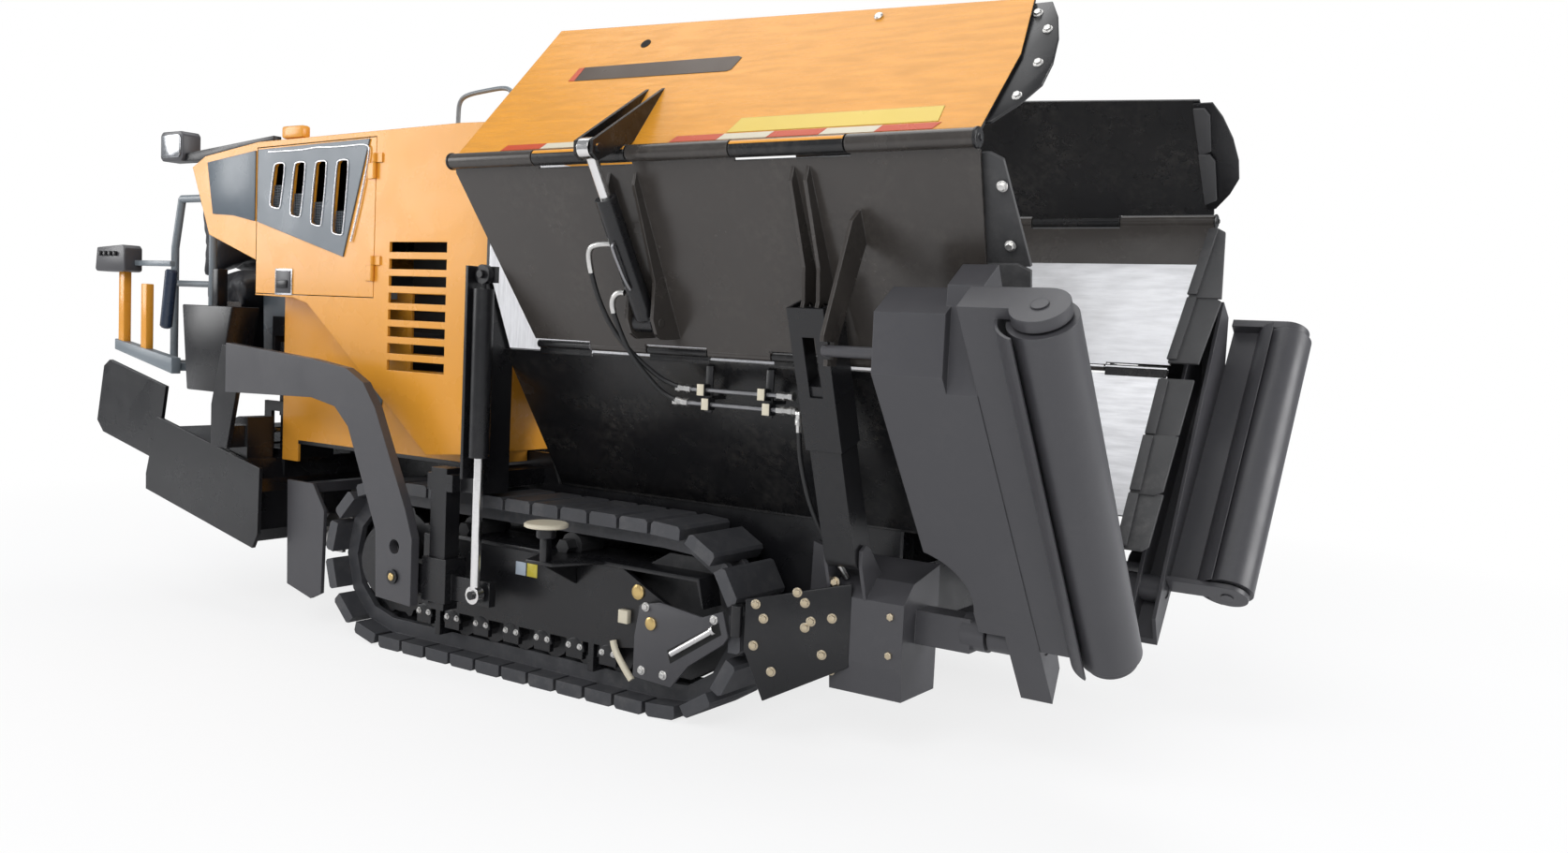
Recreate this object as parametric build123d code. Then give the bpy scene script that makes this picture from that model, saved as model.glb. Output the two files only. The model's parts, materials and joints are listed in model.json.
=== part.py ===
from build123d import *
import os
from math import atan2, cos, degrees, hypot, pi, radians, sin

os.makedirs("parts", exist_ok=True)

# Compact tracked asphalt paver.  X runs forward to the hopper, Y to the machine's left, Z up from the
# ground.  All lengths are millimetres and all angles are degrees.  It stands as it is transported:
# hopper wings folded up, roller carriers folded up into a V, and the screed raised.

# ---- driving sizes --------------------------------------------------------------------------------
PLATE = 10                      # usual welded plate
SHEET = 5                       # covers and cladding
SOLID_FIT = 0.3                 # gap between seated faces of different bodies
PIN_FIT = 0.05                  # radial running clearance of a pin in its eye
MOVE_GAP = 8                    # free space beside a moving part

# tracks
LINK_PITCH = 135
LINK_COUNT = 33
CHAIN_RADIUS = 260              # pitch line round the idler and the sprocket
PAD_OUT, PAD_IN = 72, 26        # pad faces above the pitch line
LINK_HALF = 30                  # half height of a link rail
PAD_LENGTH = 121
TRACK_OUTER = 803               # outer ends of the pads
PAD_WIDTH = 280
IDLER_X = 895
SPROCKET_X = IDLER_X - (LINK_COUNT * LINK_PITCH - 2 * pi * CHAIN_RADIUS) / 2
AXLE_Z = CHAIN_RADIUS + PAD_OUT
TRACK_Y = TRACK_OUTER - PAD_WIDTH / 2

# chassis
CHASSIS_HALF = 470
CHASSIS_REAR, CHASSIS_FRONT = -1150, 1600
CHASSIS_LOW, CHASSIS_HIGH = 230, 800
CHASSIS_PLATE = 20
CHASSIS_TAIL = -870             # rear end of the low part, ahead of the augers

# hopper
WING_HINGE_Y, WING_HINGE_Z = 800, 1230
WING_FLOOR = 665                # hinge line to the outer bend
WING_FLOOR_LEAN = 26.5          # folded floor, outward from upright
WING_WALL_LEAN = 37.0           # folded side wall, inward from upright
WING_WALL_REAR, WING_WALL_FRONT = 620, 523
WING_HINGE_REAR, WING_HINGE_FRONT = 300, 2040
WING_BEND_REAR, WING_BEND_FRONT = 172, 2095
WING_TOP_REAR, WING_TOP_FRONT = 290, 2090
WING_TRAVEL = 50
HINGE_R = 14
HOPPER_FLOOR_Z = 700
HOPPER_FLOOR_HALF = 470
HOPPER_REAR, HOPPER_FRONT = 130, 2040
HOPPER_FLOOR_T = 12
UNDER_HOPPER_Z = HOPPER_FLOOR_Z - HOPPER_FLOOR_T

# side wall cylinders, between each wing's floor and its side wall
WALL_PIPE_ALONG, WALL_PIPE_OUT = WING_FLOOR + 6, 10   # hinge pipe, from the wing hinge along and out
WALL_CYL_X = 895
WALL_BASE_ALONG, WALL_BASE_OUT = 140, 80
WALL_EYE_ALONG, WALL_EYE_OUT = 727, 124
WALL_CYL_R, WALL_ROD_R = 34, 18
WALL_PIN_R = 14
WALL_EYE_PLAY = 4.5             # the rod eye's play on its pin, which takes up the linkage's drift

# wing hoists, from the front corners to the wing floors
HOIST_X = 1545
HOIST_BASE_Y, HOIST_BASE_Z = 715, 640
HOIST_PIN_ALONG, HOIST_PIN_OUT = 200, 85
HOIST_WIDTH, HOIST_DEPTH, HOIST_WALL = 125, 110, 8
HOIST_PIN_R = 16
HOIST_PLAY = 11                 # play of the wing's ribs on the pin, which takes up the linkage's drift
POST_LENGTH, SLEEVE_LENGTH = 560, 415

# push-roller carriers
CARRIER_Y, CARRIER_Z = 575, 432
CARRIER_LEAN = 55.0             # folded carrier, up from level
ROLLER_X = 2365
ROLLER_HIGH = -30               # roller axis above the pivot, with the carrier level
ROLLER_R = 88
ROLLER_IN, ROLLER_OUT = 45, 1165
ROLLER_SHAFT_R = 22
BOX_REAR, BOX_SEAM, BOX_FRONT = 1862, 2056, 2157   # X of the two box arms
BOX_OUT = -52                   # outer face of the boxes, above the pivot with the carrier level
CARRIER_PIN_R = 32

# engine
ENGINE_BEARERS_X = (-1050, -330)
ENGINE_Z = 790

# hood
HOOD_LOW_Z = 760
HOOD_HALF = 840
HOOD_LOW_HALF = 725
HOOD_FRONT, HOOD_REAR = 110, -1742
HOOD_TOP, HOOD_TOP_REAR = 2005, 1898

# screed and tow arms
TOW_X, TOW_Z = -205, 350
TOW_ARM_Y = 930                 # middle of the arm plate
TOW_ARM_T = 36
SCREED_RAISED = 12.0
SCREED_HALF = 870
SCREED_FRONT, SCREED_REAR = -1290, -1990
STEP_REAR = -2487.28            # rear edge of the step plates with the screed level
SCREED_DOWN_Z = 95              # sole plate when the arms are level and the tow points at mid height
AUGER_X, AUGER_Z, AUGER_R = -1030, 420, 130
AUGER_IN, AUGER_OUT = 62, 772
AUGER_STUB_R = 18

# screed lift cylinders
LIFT_X, LIFT_TOP_Z, LIFT_EYE_Z = -1320, 1225, 790
LIFT_SLOT = (64, 160)           # width and height of the window the rod's cross pin runs in
LIFT_PLATE_Y = 690
LIFT_Y = LIFT_PLATE_Y - 40
LIFT_BARREL_R, LIFT_ROD_R, LIFT_PIN_R = 32, 17, 12

SIDES = (("right", -1), ("left", 1))


# ---- shape helpers --------------------------------------------------------------------------------
def block(x0, x1, y0, y1, z0, z1):
    """A box given by its two corners."""
    return Pos((x0 + x1) / 2, (y0 + y1) / 2, (z0 + z1) / 2) * Box(abs(x1 - x0), abs(y1 - y0), abs(z1 - z0))


def side_profile(points, y0, y1):
    """A closed outline in X and Z, made solid from y0 to y1."""
    face = make_face(Polyline(*[(x, 0, z) for x, z in points], close=True))
    return Pos(0, max(y0, y1), 0) * extrude(face, amount=abs(y1 - y0), dir=(0, -1, 0))


def cross_profile(points, x0, x1):
    """A closed outline in Y and Z, made solid from x0 to x1."""
    face = make_face(Polyline(*[(0, y, z) for y, z in points], close=True))
    return Pos(min(x0, x1), 0, 0) * extrude(face, amount=abs(x1 - x0), dir=(1, 0, 0))


def plan_profile(points, z0, z1):
    """A closed outline in X and Y, made solid from z0 to z1."""
    face = make_face(Polyline(*[(x, y, 0) for x, y in points], close=True))
    return Pos(0, 0, min(z0, z1)) * extrude(face, amount=abs(z1 - z0), dir=(0, 0, 1))


def rod(start, end, radius):
    """A round bar between two points."""
    a, b = Vector(*start), Vector(*end)
    return Plane(origin=a, z_dir=b - a) * Cylinder(radius, (b - a).length, align=(Align.CENTER, Align.CENTER, Align.MIN))


def fused(parts):
    """One shape from many that touch or overlap."""
    whole = parts[0]
    for part in parts[1:]:
        whole += part
    return whole


def on_side(shape, side):
    """The left-hand shape itself, or its mirror image for the right."""
    return shape if side > 0 else shape.mirror(Plane.XZ)


def both(shape):
    """The left-hand shape and its mirror image, side by side."""
    return Compound(shape.solids() + shape.mirror(Plane.XZ).solids())


def write(shape, name):
    """Write one node as its own STEP file."""
    export_step(Compound(shape.solids()) if len(shape.solids()) > 1 else shape.solids()[0], f"parts/{name}.step")


# ---- tracks ---------------------------------------------------------------------------------------
def loop_place(distance):
    """Plane on the pitch line at a distance along the loop: x along the chain, z outward."""
    straight = IDLER_X - SPROCKET_X
    arc = pi * CHAIN_RADIUS
    distance %= 2 * (straight + arc)
    if distance < straight:
        return Plane(origin=(SPROCKET_X + distance, TRACK_Y, AXLE_Z - CHAIN_RADIUS), x_dir=(1, 0, 0), z_dir=(0, 0, -1))
    distance -= straight
    if distance < arc:
        turn = -pi / 2 + distance / CHAIN_RADIUS
        centre = IDLER_X
    elif distance < arc + straight:
        back = distance - arc
        return Plane(origin=(IDLER_X - back, TRACK_Y, AXLE_Z + CHAIN_RADIUS), x_dir=(-1, 0, 0), z_dir=(0, 0, 1))
    else:
        turn = pi / 2 + (distance - arc - straight) / CHAIN_RADIUS
        centre = SPROCKET_X
    outward = Vector(cos(turn), 0, sin(turn))
    return Plane(
        origin=(centre + CHAIN_RADIUS * outward.X, TRACK_Y, AXLE_Z + CHAIN_RADIUS * outward.Z),
        x_dir=(-outward.Z, 0, outward.X),
        z_dir=outward,
    )


def chain_outline(offset):
    """Corners of the chain's polygon, one at each link joint, moved outward by an offset."""
    corners = []
    for i in range(LINK_COUNT):
        place = loop_place(i * LINK_PITCH)
        corners.append((place.origin.X + place.z_dir.X * offset, place.origin.Z + place.z_dir.Z * offset))
    kept = []
    for i, (x, z) in enumerate(corners):
        x0, z0 = corners[i - 1]
        x1, z1 = corners[(i + 1) % LINK_COUNT]
        if abs((x - x0) * (z1 - z) - (z - z0) * (x1 - x)) > 1:
            kept.append((x, z))
    return kept


def make_track():
    """One fixed loop: two link rails, and a pad on every link."""
    parts = []
    for y in (-48, 48):
        y0, y1 = TRACK_Y + y - 13, TRACK_Y + y + 13
        parts.append(side_profile(chain_outline(LINK_HALF), y0, y1) - side_profile(chain_outline(-LINK_HALF), y0 - 1, y1 + 1))
    for i in range(LINK_COUNT):
        start = loop_place(i * LINK_PITCH).origin
        end = loop_place((i + 1) * LINK_PITCH).origin
        along = (end - start).normalized()
        place = Plane(origin=(start + end) * 0.5, x_dir=along, z_dir=Vector(along.Z, 0, -along.X))
        high, low, half, edge = PAD_OUT, PAD_IN, PAD_LENGTH / 2, 10
        outline = [(-half, low), (half, low), (half, high - edge), (half - edge, high), (edge - half, high), (-half, high - edge)]
        face = make_face(Polyline(*[(x, -PAD_WIDTH / 2, z) for x, z in outline], close=True))
        pad = extrude(face, amount=PAD_WIDTH, dir=(0, 1, 0))
        parts.append(place * pad)
    return fused(parts)


def make_sprocket():
    """Toothed drive wheel with its hub, at the rear of the track frame."""
    teeth = 12
    points = []
    for i in range(teeth):
        for share, radius in ((0.0, 208), (0.28, 208), (0.42, 226), (0.58, 226), (0.72, 208)):
            turn = 2 * pi * (i + share) / teeth
            points.append((SPROCKET_X + radius * cos(turn), AXLE_Z + radius * sin(turn)))
    wheel = side_profile(points, TRACK_Y - 30, TRACK_Y + 30)
    hub = rod((SPROCKET_X, CHASSIS_HALF, AXLE_Z), (SPROCKET_X, TRACK_OUTER - 40, AXLE_Z), 150)
    cap = rod((SPROCKET_X, TRACK_OUTER - 40, AXLE_Z), (SPROCKET_X, TRACK_OUTER - 12, AXLE_Z), 118)
    return fused([wheel, hub, cap])


def polygon_rod(centre, radius, width, sides=12):
    """A many-sided wheel or axle across the track, with a flat at the bottom."""
    x, z = centre
    corner = radius / cos(pi / sides)
    turns = [2 * pi * (i + 0.5) / sides - pi / 2 for i in range(sides)]
    return side_profile([(x + corner * cos(a), z + corner * sin(a)) for a in turns], TRACK_Y - width / 2, TRACK_Y + width / 2)


def wheel_on_axle(x, z, radius, width):
    """A wheel with the axle that carries it."""
    wheel = polygon_rod((x, z), radius, width)
    return wheel + polygon_rod((x, z), 26, 216, 6)


IDLER_R = CHAIN_RADIUS - LINK_HALF - 20      # under the flats of the chain's links
BOTTOM_ROLLERS = 7
BOTTOM_ROLLER_R = 62
CARRIER_ROLLERS_X = (IDLER_X - 480, IDLER_X - 980)
FRAME_PLATES_Y = (-118, 118)     # the frame's side plates, from the chain's middle
FRAME_PLATE_T = 20
FRAME_TOP, FRAME_LOW = AXLE_Z + 150, AXLE_Z - 130


def bottom_roller_places():
    """X places of the bottom rollers along the ground run."""
    first, last = SPROCKET_X + 250, IDLER_X - 235
    return [first + i * (last - first) / (BOTTOM_ROLLERS - 1) for i in range(BOTTOM_ROLLERS)]


def make_track_rollers():
    """Idler, bottom rollers and top rollers on their axles."""
    roller_z = AXLE_Z - CHAIN_RADIUS + LINK_HALF + BOTTOM_ROLLER_R
    top_z = AXLE_Z + CHAIN_RADIUS - LINK_HALF - 48
    wheels = [wheel_on_axle(IDLER_X, AXLE_Z, IDLER_R, 64)]
    wheels += [wheel_on_axle(x, roller_z, BOTTOM_ROLLER_R - SOLID_FIT, 120) for x in bottom_roller_places()]
    wheels += [wheel_on_axle(x, top_z, 48 - SOLID_FIT, 120) for x in CARRIER_ROLLERS_X]
    return wheels


def make_track_frame():
    """Two side plates joined by cross plates, with bores for every axle."""
    rear, front = SPROCKET_X + 240, IDLER_X - 60
    outline = [
        (rear, FRAME_TOP), (front - 120, FRAME_TOP), (front, AXLE_Z + 90), (front + 95, AXLE_Z + 45),
        (front + 95, AXLE_Z - 40), (front - 40, AXLE_Z - 110), (front - 160, FRAME_LOW), (rear, FRAME_LOW),
    ]
    parts = []
    for y in FRAME_PLATES_Y:
        parts.append(side_profile(outline, TRACK_Y + y - FRAME_PLATE_T / 2, TRACK_Y + y + FRAME_PLATE_T / 2))
    y0, y1 = TRACK_Y + FRAME_PLATES_Y[0], TRACK_Y + FRAME_PLATES_Y[1]
    parts.append(block(rear, front - 250, y0, y1, AXLE_Z - 20, AXLE_Z + 110))
    rail_z = AXLE_Z - CHAIN_RADIUS + LINK_HALF
    places = bottom_roller_places()
    for x in places:
        for y in FRAME_PLATES_Y:
            parts.append(block(x - 38, x + 38, TRACK_Y + y - FRAME_PLATE_T / 2, TRACK_Y + y + FRAME_PLATE_T / 2, rail_z + 34, FRAME_LOW + 1))
    for i in (0, len(places) - 2):
        x = (places[i] + places[i + 1]) / 2
        parts.append(block(x - 12, x + 12, y0, y1, rail_z + SOLID_FIT, rail_z + 40))
        for y in FRAME_PLATES_Y:
            parts.append(block(x - 12, x + 12, TRACK_Y + y - FRAME_PLATE_T / 2, TRACK_Y + y + FRAME_PLATE_T / 2, rail_z + SOLID_FIT, FRAME_LOW + 1))
    parts.append(block(rear + 60, rear + 240, CHASSIS_HALF, y0, AXLE_Z - 60, AXLE_Z + 120))
    parts.append(block(front - 460, front - 280, CHASSIS_HALF, y0, AXLE_Z - 60, AXLE_Z + 120))
    return fused(parts)


# ---- chassis and hopper base ----------------------------------------------------------------------
def make_chassis():
    """Welded tractor frame with engine bearers, hood shelves and the auger's centre case."""
    outline = [
        (CHASSIS_REAR, CHASSIS_HIGH), (60, CHASSIS_HIGH), (110, UNDER_HOPPER_Z), (CHASSIS_FRONT, UNDER_HOPPER_Z),
        (CHASSIS_FRONT, CHASSIS_LOW + 120), (CHASSIS_FRONT - 350, CHASSIS_LOW), (CHASSIS_TAIL, CHASSIS_LOW),
        (CHASSIS_TAIL, 690), (CHASSIS_REAR, 700),
    ]
    inner = CHASSIS_HALF - CHASSIS_PLATE
    parts = [side_profile(outline, s * inner, s * CHASSIS_HALF) for s in (-1, 1)]
    parts.append(block(CHASSIS_TAIL, CHASSIS_FRONT - 350, -inner, inner, CHASSIS_LOW, CHASSIS_LOW + CHASSIS_PLATE))
    for x in (CHASSIS_TAIL, -300, 400, 1150, CHASSIS_FRONT - CHASSIS_PLATE):
        parts.append(block(x, x + CHASSIS_PLATE, -inner, inner, CHASSIS_LOW + 130, 560))
    for x in ENGINE_BEARERS_X:
        parts.append(block(x, x + 80, -inner, inner, ENGINE_Z - 40, ENGINE_Z))
    parts.append(block(CHASSIS_REAR, CHASSIS_TAIL, -inner, inner, 690, 710))
    parts.append(block(AUGER_X - 50, AUGER_X + 50, -26, 26, AUGER_Z - 70, 700))
    parts.append(rod((AUGER_X, -AUGER_IN - 30, AUGER_Z), (AUGER_X, AUGER_IN + 30, AUGER_Z), AUGER_STUB_R))
    for s in (-1, 1):
        parts.append(block(-1140, -150, s * CHASSIS_HALF, s * HOOD_LOW_HALF, 745, HOOD_LOW_Z - SOLID_FIT))
    return fused(parts)


def rails_outline(inner_y, inner_z, outer_y, outer_z, thickness):
    """Cross outline of a flat plate from its lower inner edge to its upper outer edge."""
    length = hypot(outer_y - inner_y, outer_z - inner_z)
    dy, dz = (outer_z - inner_z) / length * thickness, -(outer_y - inner_y) / length * thickness
    return [(inner_y, inner_z), (outer_y, outer_z), (outer_y + dy, outer_z + dz), (inner_y + dy, inner_z + dz)]


KNUCKLES = 7                    # shared between the two leaves, the fixed leaf first and last
KNUCKLE_GAP = 6


def knuckle_spans(rear, front, count):
    """X spans of a hinge's knuckles, numbered from the rear."""
    step = (front - rear) / count
    return [(rear + i * step + KNUCKLE_GAP / 2, rear + (i + 1) * step - KNUCKLE_GAP / 2) for i in range(count)]


HINGE_PIN_R = 7
SIDE_TOP_Y, SIDE_TOP_Z = WING_HINGE_Y - 10, WING_HINGE_Z - 22


def make_hopper_base():
    """Fixed hopper sides, floor, rear wall with its two tunnels, and the base hinge knuckles."""
    outline = rails_outline(HOPPER_FLOOR_HALF, HOPPER_FLOOR_Z, SIDE_TOP_Y, SIDE_TOP_Z, PLATE)
    half = cross_profile(outline, HOPPER_REAR, HOPPER_FRONT)
    for x0, x1 in knuckle_spans(WING_HINGE_REAR, WING_HINGE_FRONT, KNUCKLES)[0::2]:
        half += rod((x0, WING_HINGE_Y, WING_HINGE_Z), (x1, WING_HINGE_Y, WING_HINGE_Z), HINGE_R)
        half += block(x0, x1, SIDE_TOP_Y - 4, SIDE_TOP_Y + 8, SIDE_TOP_Z - 12, WING_HINGE_Z)
    half += rod((WING_HINGE_REAR, WING_HINGE_Y, WING_HINGE_Z), (WING_HINGE_FRONT, WING_HINGE_Y, WING_HINGE_Z), HINGE_PIN_R)
    floor = block(HOPPER_REAR, HOPPER_FRONT - 60, -HOPPER_FLOOR_HALF - 8, HOPPER_FLOOR_HALF + 8, UNDER_HOPPER_Z, HOPPER_FLOOR_Z)
    wall = cross_profile(
        [(-470, HOPPER_FLOOR_Z), (470, HOPPER_FLOOR_Z), (785, 1200), (900, 1480), (900, 1800), (720, 1890), (-720, 1890),
         (-900, 1800), (-900, 1480), (-785, 1200)],
        HOPPER_REAR, HOPPER_REAR + 14)
    for s in (-1, 1):
        wall -= block(HOPPER_REAR - 1, HOPPER_REAR + 20, s * 50, s * 440, HOPPER_FLOOR_Z - 1, HOPPER_FLOOR_Z + 280)
    ridge = cross_profile([(-26, HOPPER_FLOOR_Z), (26, HOPPER_FLOOR_Z), (10, HOPPER_FLOOR_Z + 130), (-10, HOPPER_FLOOR_Z + 130)],
                          HOPPER_REAR, HOPPER_FRONT - 120)
    return fused([floor, wall, ridge, half, half.mirror(Plane.XZ)])


# ---- wings ----------------------------------------------------------------------------------------
def wing_floor_plane():
    """Inner face of the left wing's floor: x along the hinge, y up the floor, z into the hopper."""
    lean = radians(WING_FLOOR_LEAN)
    return Plane(origin=(0, WING_HINGE_Y, WING_HINGE_Z), x_dir=(1, 0, 0), z_dir=(0, -cos(lean), sin(lean)))


def wing_wall_plane():
    """Inner face of the left wing's side wall: x along the bend, y up the wall."""
    lean = radians(WING_WALL_LEAN)
    bend = wing_floor_plane().from_local_coords((0, WING_FLOOR, 0))
    return Plane(origin=bend, x_dir=(1, 0, 0), z_dir=(0, -cos(lean), -sin(lean)))


def plane_plate(plane, points, low, high):
    """A flat plate on a plane, between two offsets along its normal."""
    face = make_face(Polyline(*[(x, y, 0) for x, y in points], close=True))
    return plane * (Pos(0, 0, low) * extrude(face, amount=high - low, dir=(0, 0, 1)))


def wing_point(x, along, out):
    """Point given from the left wing's hinge: X, distance up the floor, distance out from it."""
    return wing_floor_plane().from_local_coords((x, along, -out))


WING_RIBS = {
    # rib pair: (X of each, outline as distance up the floor and out from it)
    "cylinder": ((WALL_CYL_X - 52, WALL_CYL_X + 52), [(50, -1), (86, 82), (116, 104), (166, 104), (270, 48), (580, 26), (615, -1)]),
    "hoist": ((HOIST_X - 25, HOIST_X + 25), [(120, -1), (158, 62), (164, 92), (180, 110), (200, 114), (222, 108), (240, 90), (330, 52), (580, 30), (615, -1)]),
}
RIB_T = 12
PIPE_R, PIPE_PIN_R = 26, 12
PIPE_KNUCKLES = 5
HINGE_REACH = 36                # bare strip each side of the pipe's centre


def pipe_knuckles():
    """X spans of the hinge pipe's knuckles."""
    return knuckle_spans(WING_BEND_REAR, WING_BEND_FRONT, PIPE_KNUCKLES)


def make_wing():
    """Wing floor with its hinge knuckles, rib pairs, its part of the hinge pipe and the latch hook."""
    floor = wing_floor_plane()
    edge = WALL_PIPE_ALONG - HINGE_REACH
    parts = [plane_plate(floor, [(WING_HINGE_REAR, 24), (WING_HINGE_FRONT, 24), (WING_BEND_FRONT, edge), (WING_BEND_REAR, edge)], -PLATE, 0)]
    for x0, x1 in knuckle_spans(WING_HINGE_REAR, WING_HINGE_FRONT, KNUCKLES)[1::2]:
        knuckle = rod((x0, WING_HINGE_Y, WING_HINGE_Z), (x1, WING_HINGE_Y, WING_HINGE_Z), HINGE_R)
        knuckle += plane_plate(floor, [(x0, 0), (x1, 0), (x1, 30), (x0, 30)], -PLATE, 0)
        knuckle -= rod((x0 - 1, WING_HINGE_Y, WING_HINGE_Z), (x1 + 1, WING_HINGE_Y, WING_HINGE_Z), HINGE_PIN_R + PIN_FIT)
        parts.append(knuckle)
    for places, outline in WING_RIBS.values():
        for x in places:
            parts.append(plane_plate(Plane(origin=floor.from_local_coords((x, 0, -PLATE)), x_dir=floor.z_dir * -1, z_dir=(1, 0, 0)),
                                     [(out, along) for along, out in outline], -RIB_T / 2, RIB_T / 2))
    pipe = wing_point(0, WALL_PIPE_ALONG, WALL_PIPE_OUT)
    for x0, x1 in pipe_knuckles()[0::2]:
        parts.append(rod((x0, pipe.Y, pipe.Z), (x1, pipe.Y, pipe.Z), PIPE_R))
        parts.append(plane_plate(floor, [(x0, edge - 4), (x1, edge - 4), (x1, WALL_PIPE_ALONG), (x0, WALL_PIPE_ALONG)], -PLATE, 0))
    parts.append(rod((WING_BEND_REAR + 3, pipe.Y, pipe.Z), (WING_BEND_FRONT - 3, pipe.Y, pipe.Z), PIPE_PIN_R))
    parts.append(make_latch_hook())
    wing = fused(parts)
    base = wing_point(WALL_CYL_X, WALL_BASE_ALONG, WALL_BASE_OUT)
    wing += rod(base - Vector(60, 0, 0), base + Vector(60, 0, 0), WALL_PIN_R)
    pin = wing_point(HOIST_X, HOIST_PIN_ALONG, HOIST_PIN_OUT)
    return wing - rod(pin - Vector(60, 0, 0), pin + Vector(60, 0, 0), HOIST_PIN_R + HOIST_PLAY)


LATCH_X = 1706
LATCH_Y, LATCH_Z = 1150, 1265   # the carrier's silver pin
LATCH_PIN_R = 16


def make_latch_hook():
    """Flat bar from the wing's underside down to an open hook round the carrier's pin."""
    foot = wing_point(LATCH_X, 433, PLATE - 1)
    bar = cross_profile([
        (foot.Y - 20, foot.Z - 45), (foot.Y + 20, foot.Z + 45), (foot.Y + 62, foot.Z + 10), (LATCH_Y + 34, LATCH_Z + 42), (LATCH_Y + 34, LATCH_Z + 24),
        (LATCH_Y - 20, LATCH_Z + 24), (LATCH_Y - 20, LATCH_Z - 24), (LATCH_Y + 10, LATCH_Z - 24), (LATCH_Y + 10, LATCH_Z - 42), (LATCH_Y - 40, LATCH_Z - 42),
        (LATCH_Y - 44, LATCH_Z + 30),
    ], LATCH_X - 6, LATCH_X + 6)
    return bar


def make_wing_wall():
    """Painted side wall with its part of the hinge pipe and the cylinder's ears."""
    wall = wing_wall_plane()
    low = HINGE_REACH - 6
    outline = [(WING_BEND_REAR + 4, low), (WING_BEND_FRONT - 4, low), (WING_TOP_FRONT + 28, 300), (WING_TOP_FRONT, WING_WALL_FRONT), (WING_TOP_REAR, WING_WALL_REAR)]
    parts = [plane_plate(wall, outline, -PLATE, 0)]
    pipe = wing_point(0, WALL_PIPE_ALONG, WALL_PIPE_OUT)
    for x0, x1 in pipe_knuckles()[1::2]:
        strap = rod((x0, pipe.Y, pipe.Z), (x1, pipe.Y, pipe.Z), PIPE_R)
        strap += plane_plate(wall, [(x0, 0), (x1, 0), (x1, low + 4), (x0, low + 4)], -PLATE, 0)
        strap -= rod((x0 - 1, pipe.Y, pipe.Z), (x1 + 1, pipe.Y, pipe.Z), PIPE_PIN_R + PIN_FIT)
        parts.append(strap)
    eye = wall_eye()
    foot = wall.from_local_coords((0, 46, -PLATE + 1))
    fin = wall.from_local_coords((0, 280, -PLATE + 1))
    for x in (WALL_CYL_X - WALL_ROD_R - 20, WALL_CYL_X + WALL_ROD_R + 8):
        parts.append(cross_profile([(foot.Y, foot.Z), (eye.Y - 30, eye.Z - 22), (eye.Y, eye.Z - 36), (eye.Y + 26, eye.Z - 18), (eye.Y + 26, eye.Z + 20), (fin.Y, fin.Z)], x, x + 12))
    parts.append(rod((WALL_CYL_X - WALL_ROD_R - 26, eye.Y, eye.Z), (WALL_CYL_X + WALL_ROD_R + 26, eye.Y, eye.Z), WALL_PIN_R))
    return fused(parts)


def wall_eye():
    """Centre of the wall cylinder's rod eye on the folded left wing."""
    return wing_point(WALL_CYL_X, WALL_EYE_ALONG, WALL_EYE_OUT)


def cylinder_line():
    """Base, rod eye and unit direction of the left wall cylinder."""
    base = wing_point(WALL_CYL_X, WALL_BASE_ALONG, WALL_BASE_OUT)
    eye = wall_eye()
    return base, eye, (eye - base).normalized()


WALL_BARREL = 430


def eye_ring(centre, axis, radius, bore, width):
    """A ring round a pin."""
    plane = Plane(origin=centre, z_dir=axis)
    return plane * (Cylinder(radius, width) - Cylinder(bore, width + 2))


def make_wing_barrel():
    """Wall cylinder's barrel with its base eye and rod bore."""
    base, eye, along = cylinder_line()
    tube = rod(base + along * 20, base + along * WALL_BARREL, WALL_CYL_R)
    tube -= rod(base + along * 60, base + along * (WALL_BARREL + 1), WALL_ROD_R + PIN_FIT)
    tube += eye_ring(base, Vector(1, 0, 0), 30, 10, 2 * WALL_CYL_R + 8)
    tube -= rod(base - Vector(60, 0, 0), base + Vector(60, 0, 0), WALL_PIN_R + PIN_FIT)
    return tube


def make_wing_rod():
    """Wall cylinder's chromed rod with its eye."""
    base, eye, along = cylinder_line()
    bar = rod(base + along * 145, eye - along * 20, WALL_ROD_R)
    bar += eye_ring(eye, Vector(1, 0, 0), 32, 10, 2 * WALL_ROD_R + 8)
    bar -= rod(eye - Vector(60, 0, 0), eye + Vector(60, 0, 0), WALL_PIN_R + WALL_EYE_PLAY)
    return bar


def hoist_plane():
    """Left hoist: origin at the base pin, z up the post to the wing's pin, y outward."""
    base = Vector(HOIST_X, HOIST_BASE_Y, HOIST_BASE_Z)
    top = wing_point(HOIST_X, HOIST_PIN_ALONG, HOIST_PIN_OUT)
    return Plane(origin=base, x_dir=(1, 0, 0), z_dir=top - base), (top - base).length


def make_hoist_post():
    """Lower hoist post on its base pin, which runs up inside the channel."""
    plane, length = hoist_plane()
    half_x = HOIST_WIDTH / 2 - HOIST_WALL - SOLID_FIT
    out = HOIST_DEPTH / 2 - HOIST_WALL - SOLID_FIT
    post = block(-half_x, half_x, -HOIST_DEPTH / 2 + 6, out, 0, POST_LENGTH)
    post += Rot(0, 90, 0) * Cylinder(out, 2 * half_x)
    post = plane * post
    base = plane.origin
    return post - rod(base - Vector(90, 0, 0), base + Vector(90, 0, 0), HOIST_PIN_R + PIN_FIT)


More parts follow.
